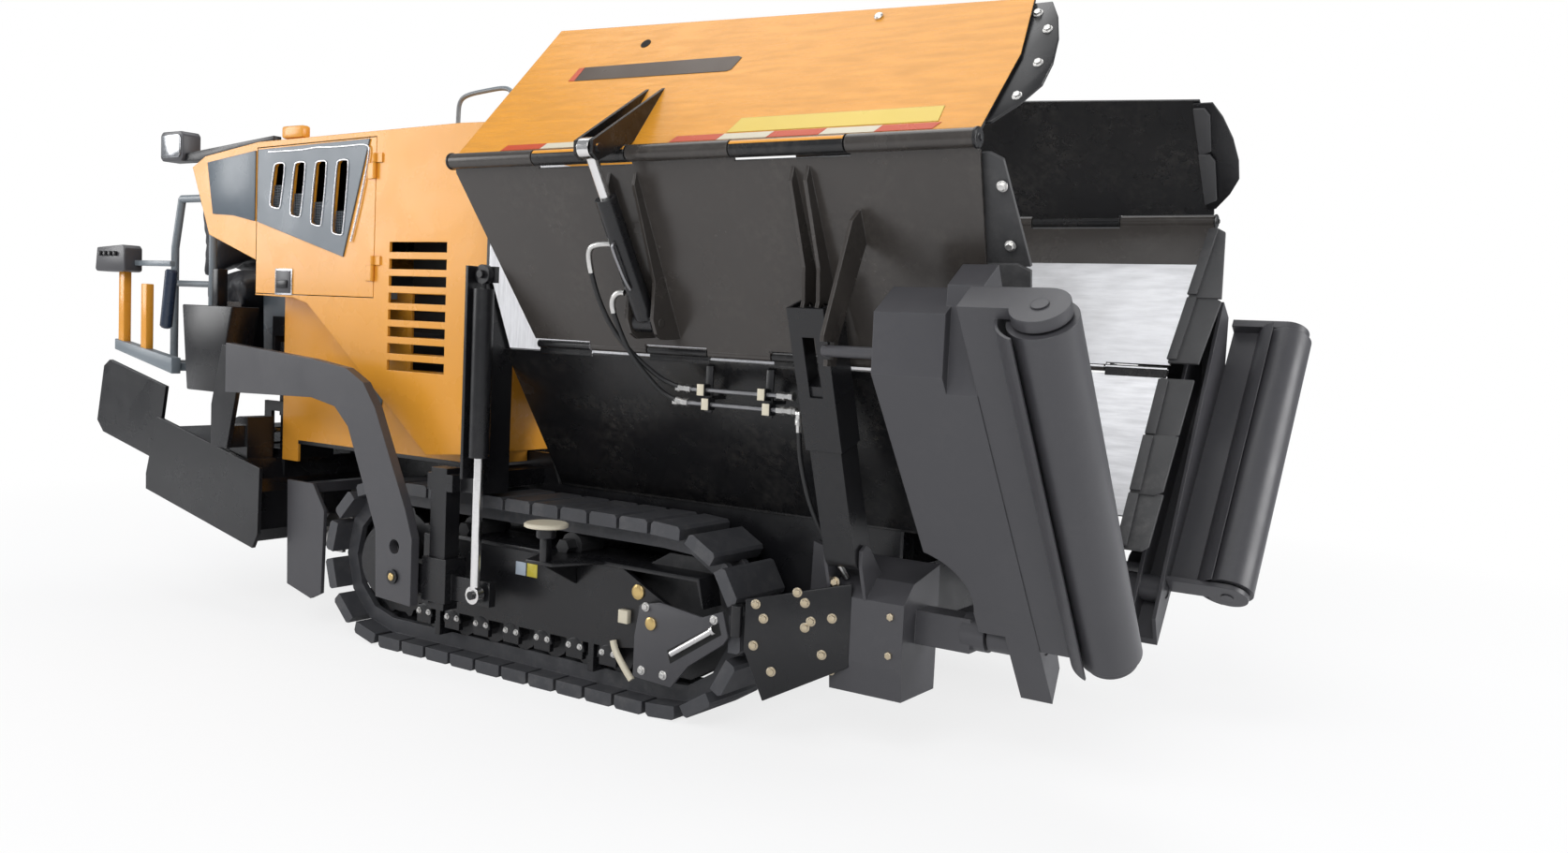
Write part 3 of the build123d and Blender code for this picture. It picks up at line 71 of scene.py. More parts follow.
# ---------- finishes ----------
class NodeBench:
    """A material under construction, with short calls for the nodes it needs."""

    def __init__(self, name: str) -> None:
        """Start an empty material.

        Args:
            name: The material's name.
        """
        self.material = bpy.data.materials.new(name)
        self.material.use_nodes = True
        self.tree = self.material.node_tree
        self.tree.nodes.clear()
        self.output = self.tree.nodes.new("ShaderNodeOutputMaterial")
        self.place = self.tree.nodes.new("ShaderNodeTexCoord").outputs["Object"]

    def link(self, source: Socket, target: Socket) -> None:
        """Join two sockets."""
        self.tree.links.new(source, target)

    def add(self, kind: str, values: dict | None = None, **settings: object) -> bpy.types.Node:
        """Add a node and set it.

        Args:
            kind: The node's class name.
            values: Its inputs, by name or number. A socket is linked and anything else is set.
            **settings: The node's own properties.

        Returns:
            The node.
        """
        node = self.tree.nodes.new(kind)
        for key, value in settings.items():
            setattr(node, key, value)
        for key, value in (values or {}).items():
            if isinstance(value, Socket):
                self.link(value, node.inputs[key])
            else:
                node.inputs[key].default_value = value
        return node

    def stretched(self, scale: Point) -> Socket:
        """Object coordinates multiplied along each axis."""
        return self.add("ShaderNodeMapping", {"Vector": self.place, "Scale": scale}).outputs["Vector"]

    def noise(self, scale: float, detail: float = 3.0, rough: float = 0.5, vector: Socket | None = None) -> Socket:
        """Value of a noise pattern on the object's coordinates."""
        values = {"Vector": vector or self.place, "Scale": scale, "Detail": detail, "Roughness": rough}
        return self.add("ShaderNodeTexNoise", values).outputs["Fac"]

    def ramp(self, value: Socket, low: float, high: float, to: tuple[float, float] = (0.0, 1.0)) -> Socket:
        """A value brought from one range to another, and held inside it."""
        values = {"Value": value, "From Min": low, "From Max": high, "To Min": to[0], "To Max": to[1]}
        return self.add("ShaderNodeMapRange", values, clamp=True).outputs["Result"]

    def maths(self, operation: str, first: object, second: object = 0.0) -> Socket:
        """Result of a sum on one or two values."""
        return self.add("ShaderNodeMath", {0: first, 1: second}, operation=operation).outputs[0]

    def mixed(self, share: object, first: object, second: object) -> Socket:
        """Two tones mixed by a share of the second."""
        node = self.tree.nodes.new("ShaderNodeMix")
        node.data_type = "RGBA"
        for key, value in ((0, share), (6, first), (7, second)):
            if isinstance(value, Socket):
                self.link(value, node.inputs[key])
            elif key == 0:
                node.inputs[key].default_value = value
            else:
                node.inputs[key].default_value = (*value, 1.0)
        return node.outputs[2]

    def along(self, vector: Socket, direction: Point) -> Socket:
        """How far a vector goes in a direction, which is given for the left side and mirrored for the right."""
        parts = self.add("ShaderNodeSeparateXYZ", {0: vector})
        side = self.maths("ABSOLUTE", parts.outputs["Y"])
        folded = self.add("ShaderNodeCombineXYZ", {0: parts.outputs["X"], 1: side, 2: parts.outputs["Z"]}).outputs[0]
        return self.add("ShaderNodeVectorMath", {0: folded, 1: direction}, operation="DOT_PRODUCT").outputs["Value"]

    def normal(self) -> Socket:
        """The surface's own normal, which turns with the piece."""
        return self.add("ShaderNodeTexCoord").outputs["Normal"]

    def above(self, value: Socket, limit: float) -> Socket:
        """1 where a value is above a limit."""
        return self.maths("GREATER_THAN", value, limit)

    def below(self, value: Socket, limit: float) -> Socket:
        """1 where a value is below a limit."""
        return self.maths("LESS_THAN", value, limit)

    def both(self, *shares: Socket) -> Socket:
        """The product of several shares."""
        share = shares[0]
        for other in shares[1:]:
            share = self.maths("MULTIPLY", share, other)
        return share

    def parted(self, vector: Socket, axis: str) -> Socket:
        """One part of a vector."""
        return self.add("ShaderNodeSeparateXYZ", {0: vector}).outputs[axis]

    def lean(self, outward: Socket, normal: Socket, aim: tuple[float, float]) -> Socket:
        """How near a normal is to an aim, given as its parts outward and up."""
        return self.maths("ADD", self.both(outward, aim[0]), self.both(self.parted(normal, "Z"), aim[1]))

    def edges(self, radius: float) -> tuple[Socket, Socket]:
        """A softened normal, and a value that rises along the edges."""
        soft = self.add("ShaderNodeBevel", {"Radius": radius}, samples=4).outputs[0]
        flat = self.add("ShaderNodeNewGeometry").outputs["Normal"]
        dot = self.add("ShaderNodeVectorMath", {0: soft, 1: flat}, operation="DOT_PRODUCT").outputs["Value"]
        return soft, self.ramp(dot, 0.995, 0.93)

    def bumped(self, height: Socket, strength: float, distance: float, normal: Socket | None = None) -> Socket:
        """Normal of a surface with a height pattern."""
        values = {"Height": height, "Strength": strength, "Distance": distance}
        if normal is not None:
            values["Normal"] = normal
        return self.add("ShaderNodeBump", values).outputs["Normal"]

    def finish(self, colour: object, roughness: object, normal: Socket, **fixed: object) -> bpy.types.Material:
        """Close the material with its shader.

        Args:
            colour: Base colour, as a tone or a socket.
            roughness: Roughness, as a number or a socket.
            normal: Normal of the finished surface.
            **fixed: Shader inputs that are the same all over, with _ for a space.

        Returns:
            The material.
        """
        shader = self.tree.nodes.new("ShaderNodeBsdfPrincipled")
        for key, value in (("Base Color", colour), ("Roughness", roughness), ("Normal", normal)):
            if isinstance(value, Socket):
                self.link(value, shader.inputs[key])
            else:
                shader.inputs[key].default_value = (*value, 1.0) if key == "Base Color" else value
        for key, value in fixed.items():
            shader.inputs[key.replace("_", " ")].default_value = value
        self.link(shader.outputs[0], self.output.inputs["Surface"])
        return self.material


MADE: dict[object, bpy.types.Material] = {}

# Parts outward and up of the normals that the masks look for, from the sheets' angles in the part.
FLOOR_AIM = (0.895, -0.446)
WALL_AIM = (0.799, 0.602)
SLOPE_AIM = (-0.846, 0.533)
# Where the wing's floor starts along its own slope, and how far up it the bright steel goes, in metres.
FLOOR_FOOT = 0.357 + 1.1009
FLOOR_BRIGHT = 0.467


@dataclass(frozen=True)
class Finish:
    """A surface finish, made into a material once."""

    name: str
    tone: Tone
    slot: str = ""

    def material(self) -> bpy.types.Material:
        """The finish's material."""
        if self not in MADE:
            MADE[self] = self.build()
        return MADE[self]

    def build(self) -> bpy.types.Material:
        """Make the material. Each kind of finish has its own."""
        raise NotImplementedError

    def dress(self, thing: Thing) -> Thing:
        """Give a thing this finish all over.

        Args:
            thing: The object.

        Returns:
            The same object.
        """
        thing.data.materials.clear()
        thing.data.materials.append(self.material())
        return thing


@dataclass(frozen=True)
class Paint(Finish):
    """Sprayed paint on steel: slight orange peel, uneven gloss, dust that settles, and rubbed edges."""

    rough: float = 0.32
    dust: float = 0.12
    dust_tone: Tone = (0.32, 0.29, 0.25)
    rub: float = 0.25
    rub_tone: Tone = (0.30, 0.29, 0.28)
    coat: float = 0.0
    grain: float = 0.25

    def layer(self, bench: NodeBench) -> tuple[Socket, Socket, Socket]:
        """Colour, roughness and normal of the paint."""
        cloud = bench.noise(1.7, 4.0)
        speck = bench.noise(38.0, 5.0, 0.65)
        soft, edge = bench.edges(0.004)
        darker = tuple(c * 0.86 for c in self.tone)
        colour = bench.mixed(bench.ramp(cloud, 0.35, 0.7, (0.0, 0.6)), self.tone, darker)
        spread = bench.ramp(bench.noise(4.5, 4.0), 0.4, 0.72, (0.0, self.dust))
        settled = bench.maths("MULTIPLY", bench.ramp(speck, 0.42, 0.75), spread)
        colour = bench.mixed(settled, colour, self.dust_tone)
        worn = bench.maths("MULTIPLY", edge, bench.ramp(bench.noise(9.0, 5.0, 0.7), 0.42, 0.62, (0.0, self.rub)))
        colour = bench.mixed(worn, colour, self.rub_tone)
        uneven = bench.ramp(bench.noise(6.0, 3.0), 0.3, 0.7, (self.rough - 0.05, self.rough + 0.07))
        rough = bench.maths("ADD", uneven, bench.maths("MULTIPLY", settled, 0.6))
        normal = bench.bumped(bench.noise(420.0, 2.0), self.grain, 0.0006, soft)
        return colour, rough, normal

    def build(self) -> bpy.types.Material:
        """Make the paint."""
        bench = NodeBench(self.name)
        colour, rough, normal = self.layer(bench)
        return bench.finish(colour, rough, normal, Coat_Weight=self.coat, Coat_Roughness=0.12)


class Mask(Enum):
    """Which faces of a two-toned node take its second layer, which on the hood is painted shade."""

    WING_FLOOR = "the floor's inner face, up to where it turns black"
    WING_WALL = "the side wall's outer face"
    HOPPER = "the faces that hold the mix"
    # The hood's inner faces, which take painted shade.
    HOOD = "the faces inside the hood"

    def share(self, bench: NodeBench) -> Socket:
        """1 on the faces of the second layer.

        Args:
            bench: The material under construction.

        Returns:
            The share.
        """
        normal, place = bench.normal(), bench.place
        turn = bench.parted(normal, "Y")
        side = bench.parted(place, "Y")
        outward = bench.both(turn, bench.maths("SIGN", side))
        if self is Mask.WING_FLOOR:
            inner = bench.below(bench.lean(outward, normal, FLOOR_AIM), -0.96)
            low = bench.below(bench.along(place, (0.0, -FLOOR_AIM[1], FLOOR_AIM[0])), FLOOR_FOOT + FLOOR_BRIGHT)
            return bench.both(inner, low)
        if self is Mask.WING_WALL:
            return bench.above(bench.lean(outward, normal, WALL_AIM), 0.97)
        if self is Mask.HOPPER:
            slope = bench.above(bench.lean(outward, normal, SLOPE_AIM), 0.97)
            floor = bench.both(bench.above(bench.parted(normal, "Z"), 0.98), bench.below(bench.parted(place, "Z"), 0.72))
            back = bench.both(bench.above(bench.parted(normal, "X"), 0.9), bench.below(bench.parted(place, "X"), 0.6))
            return bench.maths("MAXIMUM", slope, bench.maths("MAXIMUM", floor, back))
        # The hood: its inner faces take a near black layer, painted shade inside the hood.
        inward = bench.below(outward, -0.5)
        roof = bench.both(bench.below(bench.parted(normal, "Z"), -0.5), bench.above(bench.parted(place, "Z"), 1.85))
        ahead = bench.both(bench.above(bench.parted(normal, "X"), 0.5), bench.below(bench.parted(place, "X"), -1.2))
        behind = bench.both(bench.below(bench.parted(normal, "X"), -0.5), bench.above(bench.parted(place, "X"), -0.05))
        return bench.maths("MAXIMUM", bench.maths("MAXIMUM", inward, roof), bench.maths("MAXIMUM", ahead, behind))


@dataclass(frozen=True)
class TwoTone(Paint):
    """Paint, and another layer on the faces of a mask."""

    inner: Tone = (0.62, 0.62, 0.64)
    inner_rough: float = 0.3
    inner_metal: bool = True
    mask: Mask = Mask.HOPPER

    def build(self) -> bpy.types.Material:
        """Make both layers and join them by the mask."""
        bench = NodeBench(self.name)
        colour, rough, normal = self.layer(bench)
        share = self.mask.share(bench)
        streak = bench.noise(6.0, 6.0, 0.6, bench.stretched((1.0, 14.0, 2.0)))
        tone = bench.mixed(bench.ramp(streak, 0.35, 0.75), self.inner, tuple(c * 0.78 for c in self.inner))
        if self.inner_metal:
            dirt = bench.ramp(bench.noise(2.3, 4.0), 0.45, 0.75, (0.0, 0.35))
            tone = bench.mixed(dirt, tone, (0.20, 0.19, 0.18))
        inner_rough = bench.ramp(streak, 0.3, 0.8, (self.inner_rough, self.inner_rough + 0.15))
        colour = bench.mixed(share, colour, tone)
        rough = bench.add("ShaderNodeMapRange", {"Value": share, "To Min": rough, "To Max": inner_rough}).outputs["Result"]
        material = bench.finish(colour, rough, normal)
        if self.inner_metal:
            shader = next(node for node in bench.tree.nodes if node.type == "BSDF_PRINCIPLED")
            bench.link(bench.both(share, 0.85), shader.inputs["Metallic"])
        return material


@dataclass(frozen=True)
class Metal(Finish):
    """Bare, plated or polished metal with fine machining lines and handling marks."""

    rough: float = 0.25
    lines: Point = (1.0, 1.0, 1.0)
    stain: float = 0.25
    stain_tone: Tone = (0.12, 0.11, 0.10)
    grain: float = 0.15

    def build(self) -> bpy.types.Material:
        """Make the metal."""
        bench = NodeBench(self.name)
        soft, edge = bench.edges(0.0025)
        line = bench.noise(90.0, 4.0, 0.6, bench.stretched(self.lines))
        mark = bench.ramp(bench.noise(14.0, 6.0, 0.65), 0.5, 0.78, (0.0, self.stain))
        colour = bench.mixed(mark, self.tone, self.stain_tone)
        colour = bench.mixed(bench.maths("MULTIPLY", edge, 0.35), colour, (0.8, 0.79, 0.77))
        rough = bench.ramp(line, 0.3, 0.7, (self.rough, self.rough + 0.14))
        normal = bench.bumped(line, self.grain, 0.0003, soft)
        return bench.finish(colour, rough, normal, Metallic=1.0)


@dataclass(frozen=True)
class Rubber(Finish):
    """Rubber or plastic with a fine grain, and pale dust in patches."""

    rough: float = 0.6
    grain: float = 0.3
    scale: float = 260.0
    dust: float = 0.35
    dust_tone: Tone = (0.16, 0.155, 0.15)

    def build(self) -> bpy.types.Material:
        """Make the rubber."""
        bench = NodeBench(self.name)
        soft, edge = bench.edges(0.003)
        speck = bench.noise(22.0, 6.0, 0.7)
        spread = bench.ramp(bench.noise(3.2, 4.0), 0.35, 0.7, (0.0, self.dust))
        patch = bench.maths("MULTIPLY", bench.ramp(speck, 0.45, 0.75), spread)
        colour = bench.mixed(patch, self.tone, self.dust_tone)
        paler = tuple(min(1.0, c * 2.2 + 0.02) for c in self.tone)
        colour = bench.mixed(bench.maths("MULTIPLY", edge, 0.3), colour, paler)
        rough = bench.ramp(bench.noise(11.0), 0.3, 0.7, (self.rough - 0.08, self.rough + 0.08))
        normal = bench.bumped(bench.noise(self.scale, 3.0, 0.6), self.grain, 0.001, soft)
        return bench.finish(colour, rough, normal)


MACHINE_YELLOW = (0.80, 0.345, 0.036)
YELLOW_COAT = {"rough": 0.26, "dust": 0.05, "rub": 0.12, "rub_tone": (0.50, 0.24, 0.05), "coat": 0.12, "grain": 0.10}


def sheet(name: str, tone: Tone, rough: float = 0.30, dust: float = 0.03) -> Paint:
    """A flat sheet or plate, without rubbed edges."""
    return Paint(name, tone, rough=rough, dust=dust, rub=0.0, grain=0.05)


YELLOW = Paint("yellow_paint", MACHINE_YELLOW, **YELLOW_COAT)
# The hood's paint, with its inner faces near black as painted shade inside the hood.
HOOD = TwoTone(
    "hood_paint_and_inner_shade", MACHINE_YELLOW, **YELLOW_COAT, inner=(0.006, 0.006, 0.007), inner_rough=0.6, inner_metal=False, mask=Mask.HOOD
)
BLACK = Paint(
    "black_paint", (0.0085, 0.0085, 0.010), rough=0.28, dust=0.10, rub=0.22, rub_tone=(0.11, 0.11, 0.11),
    dust_tone=(0.10, 0.095, 0.09),
)
SATIN = Paint(
    "dark_grey_paint", (0.060, 0.059, 0.065), rough=0.36, dust=0.10, rub=0.25, rub_tone=(0.17, 0.17, 0.17),
    dust_tone=(0.16, 0.155, 0.15),
)
GREY = Paint("grey_paint", (0.19, 0.22, 0.245), rough=0.3, dust=0.08, rub=0.2, rub_tone=(0.35, 0.36, 0.37))
WING_WALL = TwoTone(
    "wing_wall_paint", (0.010, 0.010, 0.011), rough=0.26, inner=MACHINE_YELLOW, inner_rough=0.22, inner_metal=False,
    mask=Mask.WING_WALL,
)
WING_FLOOR = TwoTone(
    "wing_floor_paint", (0.050, 0.044, 0.040), rough=0.22, dust=0.10, inner=(0.93, 0.93, 0.95), inner_rough=0.36,
    mask=Mask.WING_FLOOR,
)
HOPPER = TwoTone(
    "hopper_paint", (0.009, 0.009, 0.010), rough=0.24, dust=0.12, inner=(0.88, 0.88, 0.90), inner_rough=0.38, mask=Mask.HOPPER
)
STEEL = Metal("worn_steel", (0.42, 0.41, 0.40), rough=0.34, lines=(1.0, 12.0, 1.0), stain=0.5, slot="worn_steel")
CHROME = Metal("chrome_rod", (0.78, 0.77, 0.76), rough=0.10, stain=0.08, grain=0.04, slot="chrome_rod")
RUBBER = Rubber("rubber_pad", (0.052, 0.053, 0.059), rough=0.52, dust=0.5, slot="rubber_pad")
CAST = Rubber("cast_block", (0.030, 0.030, 0.032), rough=0.5, grain=0.6, scale=140.0, dust=0.3, slot="cast_block")
SEAT = Rubber("seat_cover", (0.018, 0.020, 0.026), rough=0.48, grain=0.35, scale=180.0, dust=0.08, slot="seat_cover")
PANEL = Paint(
    "dark_panel", (0.10, 0.125, 0.15), rough=0.30, dust=0.04, rub=0.2, rub_tone=(0.3, 0.33, 0.36), grain=0.3, slot="dark_panel"
)
FLAP = Rubber("flap_rubber", (0.050, 0.050, 0.052), rough=0.55, dust=0.4)
HOSE = Rubber("hose_rubber", (0.012, 0.012, 0.013), rough=0.42, grain=0.5, scale=500.0, dust=0.1)
ZINC = Metal("zinc_bolt", (0.66, 0.65, 0.63), rough=0.28, stain=0.2)
GOLD = Metal("yellow_zinc_bolt", (0.62, 0.52, 0.36), rough=0.30, stain=0.15)
BRASS = Metal("brass_plate", (0.72, 0.52, 0.22), rough=0.26, stain=0.15)
TRIM = Metal("bright_edging", (0.74, 0.74, 0.76), rough=0.18, stain=0.05)
BRAID = Metal("plated_fitting", (0.68, 0.67, 0.65), rough=0.24, lines=(30.0, 30.0, 30.0), stain=0.12)
STEEL_PIPE = Metal("feed_pipe", (0.30, 0.30, 0.31), rough=0.30, stain=0.3)
# Near black finish for thin sheets that stand for the shade inside holes, slots and openings: painted shade.
OPENING_SHADE = Rubber("painted_opening_shade", (0.003, 0.003, 0.003), rough=0.8, dust=0.0)
STRIPE = sheet("dark_stripe", (0.060, 0.036, 0.020))
RED = sheet("red_sheet", (0.58, 0.075, 0.022), rough=0.26)
CREAM = sheet("cream_sheet", (0.70, 0.64, 0.50), dust=0.04)
PALE = sheet("pale_band", (0.76, 0.56, 0.10))
PALE_BLUE = sheet("pale_blue_plate", (0.40, 0.46, 0.53))
PLATE_YELLOW = sheet("yellow_plate", (0.56, 0.47, 0.06))
BLUE = Paint("dark_blue_paint", (0.020, 0.032, 0.060), rough=0.26, dust=0.05, rub=0.1)
LENS = Metal("lamp_glass", (0.46, 0.47, 0.49), rough=0.12, stain=0.05)


class NodeFinish(Enum):
    """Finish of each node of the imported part, by the start of its name."""

    chassis_frame = BLACK
    hopper_base = HOPPER
    engine_hood = HOOD
    engine_block = CAST
    operator_platform = BLACK
    operator_console = PANEL
    platform_rails = GREY
    main_screed = BLACK
    conveyors = STEEL
    sprockets = BLACK
    track_rollers = CAST
    track_frames = BLACK
    front_corners = SATIN
    rear_guards = SATIN
    tow_guides = BLACK
    level_barrels = BLACK
    tow_heads = BLACK
    level_rods = CHROME
    tow_arms = SATIN
    lift_barrels = BLACK
    lift_rods = CHROME
    seat_bases = BLACK
    seat_cushions = SEAT
    seat_backs = SEAT
    track = RUBBER
    wing_floor = WING_FLOOR
    wing_wall = WING_WALL
    wall_cylinder_barrel = BLACK
    wall_cylinder_rod = CHROME
    hoist_post = BLACK
    hoist_channel = BLACK
    roller_carrier = SATIN
    roller_brackets = SATIN
    push_roller = SATIN
    hood_door = YELLOW
    vent_panel = PANEL
    screed_extension = BLACK
    auger = STEEL


def dress_nodes(nodes: dict[str, Thing]) -> None:
    """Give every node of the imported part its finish.

    Args:
        nodes: The part's nodes by name.
    """
    by_name = {name: member.value for name, member in NodeFinish.__members__.items()}
    for name, thing in nodes.items():
        plain = name.removesuffix("_left").removesuffix("_right")
        by_name[plain].dress(thing)
        LOG.info("dressed %s", name)


# ---------- modelling ----------
@dataclass(frozen=True)
class Facing:
    """A flat face on the machine's left: an origin, and unit directions forward, up the face and out of it."""

    origin: Vector
    up: Vector
    out: Vector

    def at(self, forward: float, up: float, out: float = 0.0) -> Vector:
        """Point given by its distances forward, up the face and out of it."""
        return self.origin + Vector((forward, 0.0, 0.0)) + self.up * up + self.out * out

    def ring(self, corners: Outline, out: float = 0.0) -> list[Vector]:
        """Corners on the face, all at one distance out of it."""
        return [self.at(forward, up, out) for forward, up in corners]


def leaning(origin: Point, lean: float) -> Facing:
    """A face that looks outward and leans by an angle.

    Args:
        origin: A point on it.
        lean: Angle from upright in degrees, outward from the machine's middle.

    Returns:
        The face.
    """
    turn = math.radians(lean)
    up = Vector((0.0, math.sin(turn), math.cos(turn)))
    return Facing(Vector(origin), up, Vector((0.0, up.z, -up.y)))


def upright(y: float) -> Facing:
    """An upright face at a distance from the machine's middle, whose places are plain X and Z."""
    return leaning((0.0, y, 0.0), 0.0)


WING_FACE = leaning((0.0, 0.800, 1.230), 26.5)
WALL_FACE = leaning(tuple(WING_FACE.at(0.0, 0.665)), -37.0)
HOPPER_FACE = leaning((0.0, 0.790, 1.208), 32.2)
LEFT = Vector((0.0, 1.0, 0.0))
UP = Vector((0.0, 0.0, 1.0))
SHARED_BODIES = ("machine", "tow_heads", "screed", "lift_barrels", "lift_rods")


def turned_to(axis: Vector) -> Matrix:
    """Turn that brings Z onto an axis."""
    return Vector(axis).normalized().to_track_quat("Z", "Y").to_matrix().to_4x4()


class Workshop:
    """Models pieces with Blender's own tools. Everything is made for the left and mirrored to the right."""

    def __init__(self) -> None:
        """Start with nothing made."""
        self.triangles = 0
        self.pieces = 0

    @staticmethod
    def clear() -> None:
        """Leave nothing selected."""
        bpy.ops.object.select_all(action="DESELECT")

    @staticmethod
    def edit() -> None:
        """Go into edit mode with everything selected."""
        bpy.ops.object.mode_set(mode="EDIT")
        bpy.ops.mesh.select_all(action="SELECT")

    def close(self, name: str, smooth: float = 32.0) -> Thing:
        """Turn all faces outward, leave edit mode and shade the piece.

        Args:
            name: The piece's name.
            smooth: Edges sharper than this, in degrees, stay sharp.

        Returns:
            The piece.
        """
        bpy.ops.mesh.select_all(action="SELECT")
        bpy.ops.mesh.normals_make_consistent(inside=False)
        bpy.ops.object.mode_set(mode="OBJECT")
        bpy.ops.object.shade_smooth_by_angle(angle=math.radians(smooth))
        thing = bpy.context.object
        thing.name = name
        return thing

    def plate(self, name: str, corners: list[Vector], push: Vector, bevel: float = 0.0012) -> Thing:
        """A flat plate.

        Args:
            name: Its name.
            corners: Corners of one face.
            push: From that face to the other.
            bevel: Width of the rounding on its edges.

        Returns:
            The plate.
        """
        self.clear()
        bpy.ops.mesh.primitive_circle_add(vertices=len(corners), radius=1.0, fill_type="NGON", location=(0, 0, 0))
        thing = bpy.context.object
        for vertex, corner in zip(thing.data.vertices, corners):
            vertex.co = corner
        self.edit()
        bpy.ops.mesh.extrude_region_move(TRANSFORM_OT_translate={"value": push})
        bpy.ops.mesh.select_all(action="SELECT")
        if bevel:
            bpy.ops.mesh.bevel(offset=bevel, segments=2, affect="EDGES", clamp_overlap=True)
        return self.close(name)

    def block(self, name: str, low: Point, high: Point, bevel: float = 0.002) -> Thing:
        """An upright block between two corners, with rounded edges."""
        plan = ((low[0], low[1]), (high[0], low[1]), (high[0], high[1]), (low[0], high[1]))
        corners = [Vector((x, y, low[2])) for x, y in plan]
        return self.plate(name, corners, Vector((0.0, 0.0, high[2] - low[2])), bevel)

    def turned(self, name: str, steps: Outline, base: Vector, axis: Vector, sides: int = 24) -> Thing:
        """A turned piece.

        Args:
            name: Its name.
            steps: Distance along its axis and radius there, from one end to the other.
            base: Where its axis starts.
            axis: Direction of its axis.
            sides: Number of its sides.

        Returns:
            The piece.
        """
        self.clear()
        height, radius = steps[0]
        bpy.ops.mesh.primitive_circle_add(vertices=sides, radius=radius, fill_type="NGON", location=(0, 0, 0))
        thing = bpy.context.object
        self.edit()
        bpy.ops.transform.translate(value=(0, 0, height))
        for next_height, next_radius in steps[1:]:
            bpy.ops.mesh.extrude_region_move(TRANSFORM_OT_translate={"value": (0, 0, next_height - height)})
            share = next_radius / radius
            bpy.ops.transform.resize(value=(share, share, 1.0), center_override=(0, 0, next_height))
            height, radius = next_height, next_radius
        self.close(name)
        thing.data.transform(Matrix.Translation(base) @ turned_to(axis))
        return thing

    def tube(self, name: str, points: list[Vector], radius: float, closed: bool = False, sides: int = 3) -> Thing:
        """A bent tube whose bends are eased between the points."""
        self.clear()
        line = self.route(name, points, radius, closed, sides)
        line.select_set(True)
        bpy.context.view_layer.objects.active = line
        bpy.ops.object.convert(target="MESH")
        thing = bpy.context.object
        self.edit()
        bpy.ops.mesh.remove_doubles(threshold=0.00001)
        return self.close(name, 50.0)

    @staticmethod
    def route(name: str, points: list[Vector], radius: float, closed: bool = False, sides: int = 3) -> Thing:
        """A round line through its first and last point, drawn towards those between them."""
        data = bpy.data.curves.new(name, "CURVE")
        data.dimensions = "3D"
        data.bevel_depth = radius
        data.bevel_resolution = sides
        data.use_fill_caps = not closed
        data.resolution_u = 6
        spline = data.splines.new("NURBS")
        spline.points.add(len(points) - 1)
        for control, point in zip(spline.points, points):
            control.co = (*point, 1.0)
        spline.order_u = 3
        spline.use_cyclic_u = closed
        spline.use_endpoint_u = not closed
        thing = bpy.data.objects.new(name, data)
        bpy.context.scene.collection.objects.link(thing)
        return thing

    def joined(self, name: str, things: list[Thing]) -> Thing:
        """Several pieces as one."""
        self.clear()
        for thing in things:
            thing.select_set(True)
        bpy.context.view_layer.objects.active = things[0]
        if len(things) > 1:
            bpy.ops.object.join()
        things[0].name = name
        return things[0]

    def repeated(self, name: str, pattern: Thing, places: list[Matrix]) -> Thing:
        """Copies of one piece at each place, as one mesh. The pattern itself goes."""
        copies = []
        for place in places:
            twin = pattern.copy()
            twin.data = pattern.data.copy()
            twin.data.transform(place)
            bpy.context.scene.collection.objects.link(twin)
            copies.append(twin)
        bpy.data.objects.remove(pattern)
        return self.joined(name, copies)

    def bolts(self, name: str, spots: list[Vector], out: Vector, size: float = 0.011) -> Thing:
        """Hexagon bolts with washers, all facing one way.

        Args:
            name: Name of the set.
            spots: Where the washers seat.
            out: Direction of the heads.
            size: Half the width of a head.

        Returns:
            The set, as one mesh.
        """
        flat = [(0.0, size * 1.45), (size * 0.2, size * 1.4), (size * 0.24, size * 1.2)]
        domed = [(0.0, size * 1.05), (size * 0.85, size * 1.05), (size, size * 0.86), (size * 0.94, size * 0.5)]
        washer = self.turned("washer", flat, Vector(), UP, 16)
        head = self.turned("head", domed, Vector(), UP, 6)
        bolt = self.joined("bolt", [washer, head])
        return self.repeated(name, bolt, [Matrix.Translation(spot) @ turned_to(out) for spot in spots])

    def fit(self, thing: Thing, finish: Finish, body: str = "machine", pair: bool = True) -> list[Thing]:
        """Dress a finished piece, mirror it to the right, and let each ride on its body.

        Args:
            thing: The left-hand or middle piece.
            finish: Its finish.
            body: The body that carries it, without its side.
            pair: Whether there is one on each side.

        Returns:
            The pieces.
        """
        finish.dress(thing)
        things = [thing]
        if pair:
            twin = thing.copy()
            twin.data = thing.data.copy()
            twin.data.transform(Matrix.Scale(-1.0, 4, (0.0, 1.0, 0.0)))
            if isinstance(twin.data, bpy.types.Mesh):
                twin.data.flip_normals()
            bpy.context.scene.collection.objects.link(twin)
            base = thing.name
            thing.name, twin.name = f"{base}_left", f"{base}_right"
            things.append(twin)
        for each, side in zip(things, ("left", "right")):
            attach(each, body if body in SHARED_BODIES or not pair else f"{body}_{side}")
            if isinstance(each.data, bpy.types.Mesh):
                self.triangles += sum(len(face.vertices) - 2 for face in each.data.polygons)
            self.pieces += 1
        LOG.info("fitted %s on %s", thing.name, body)
        return things


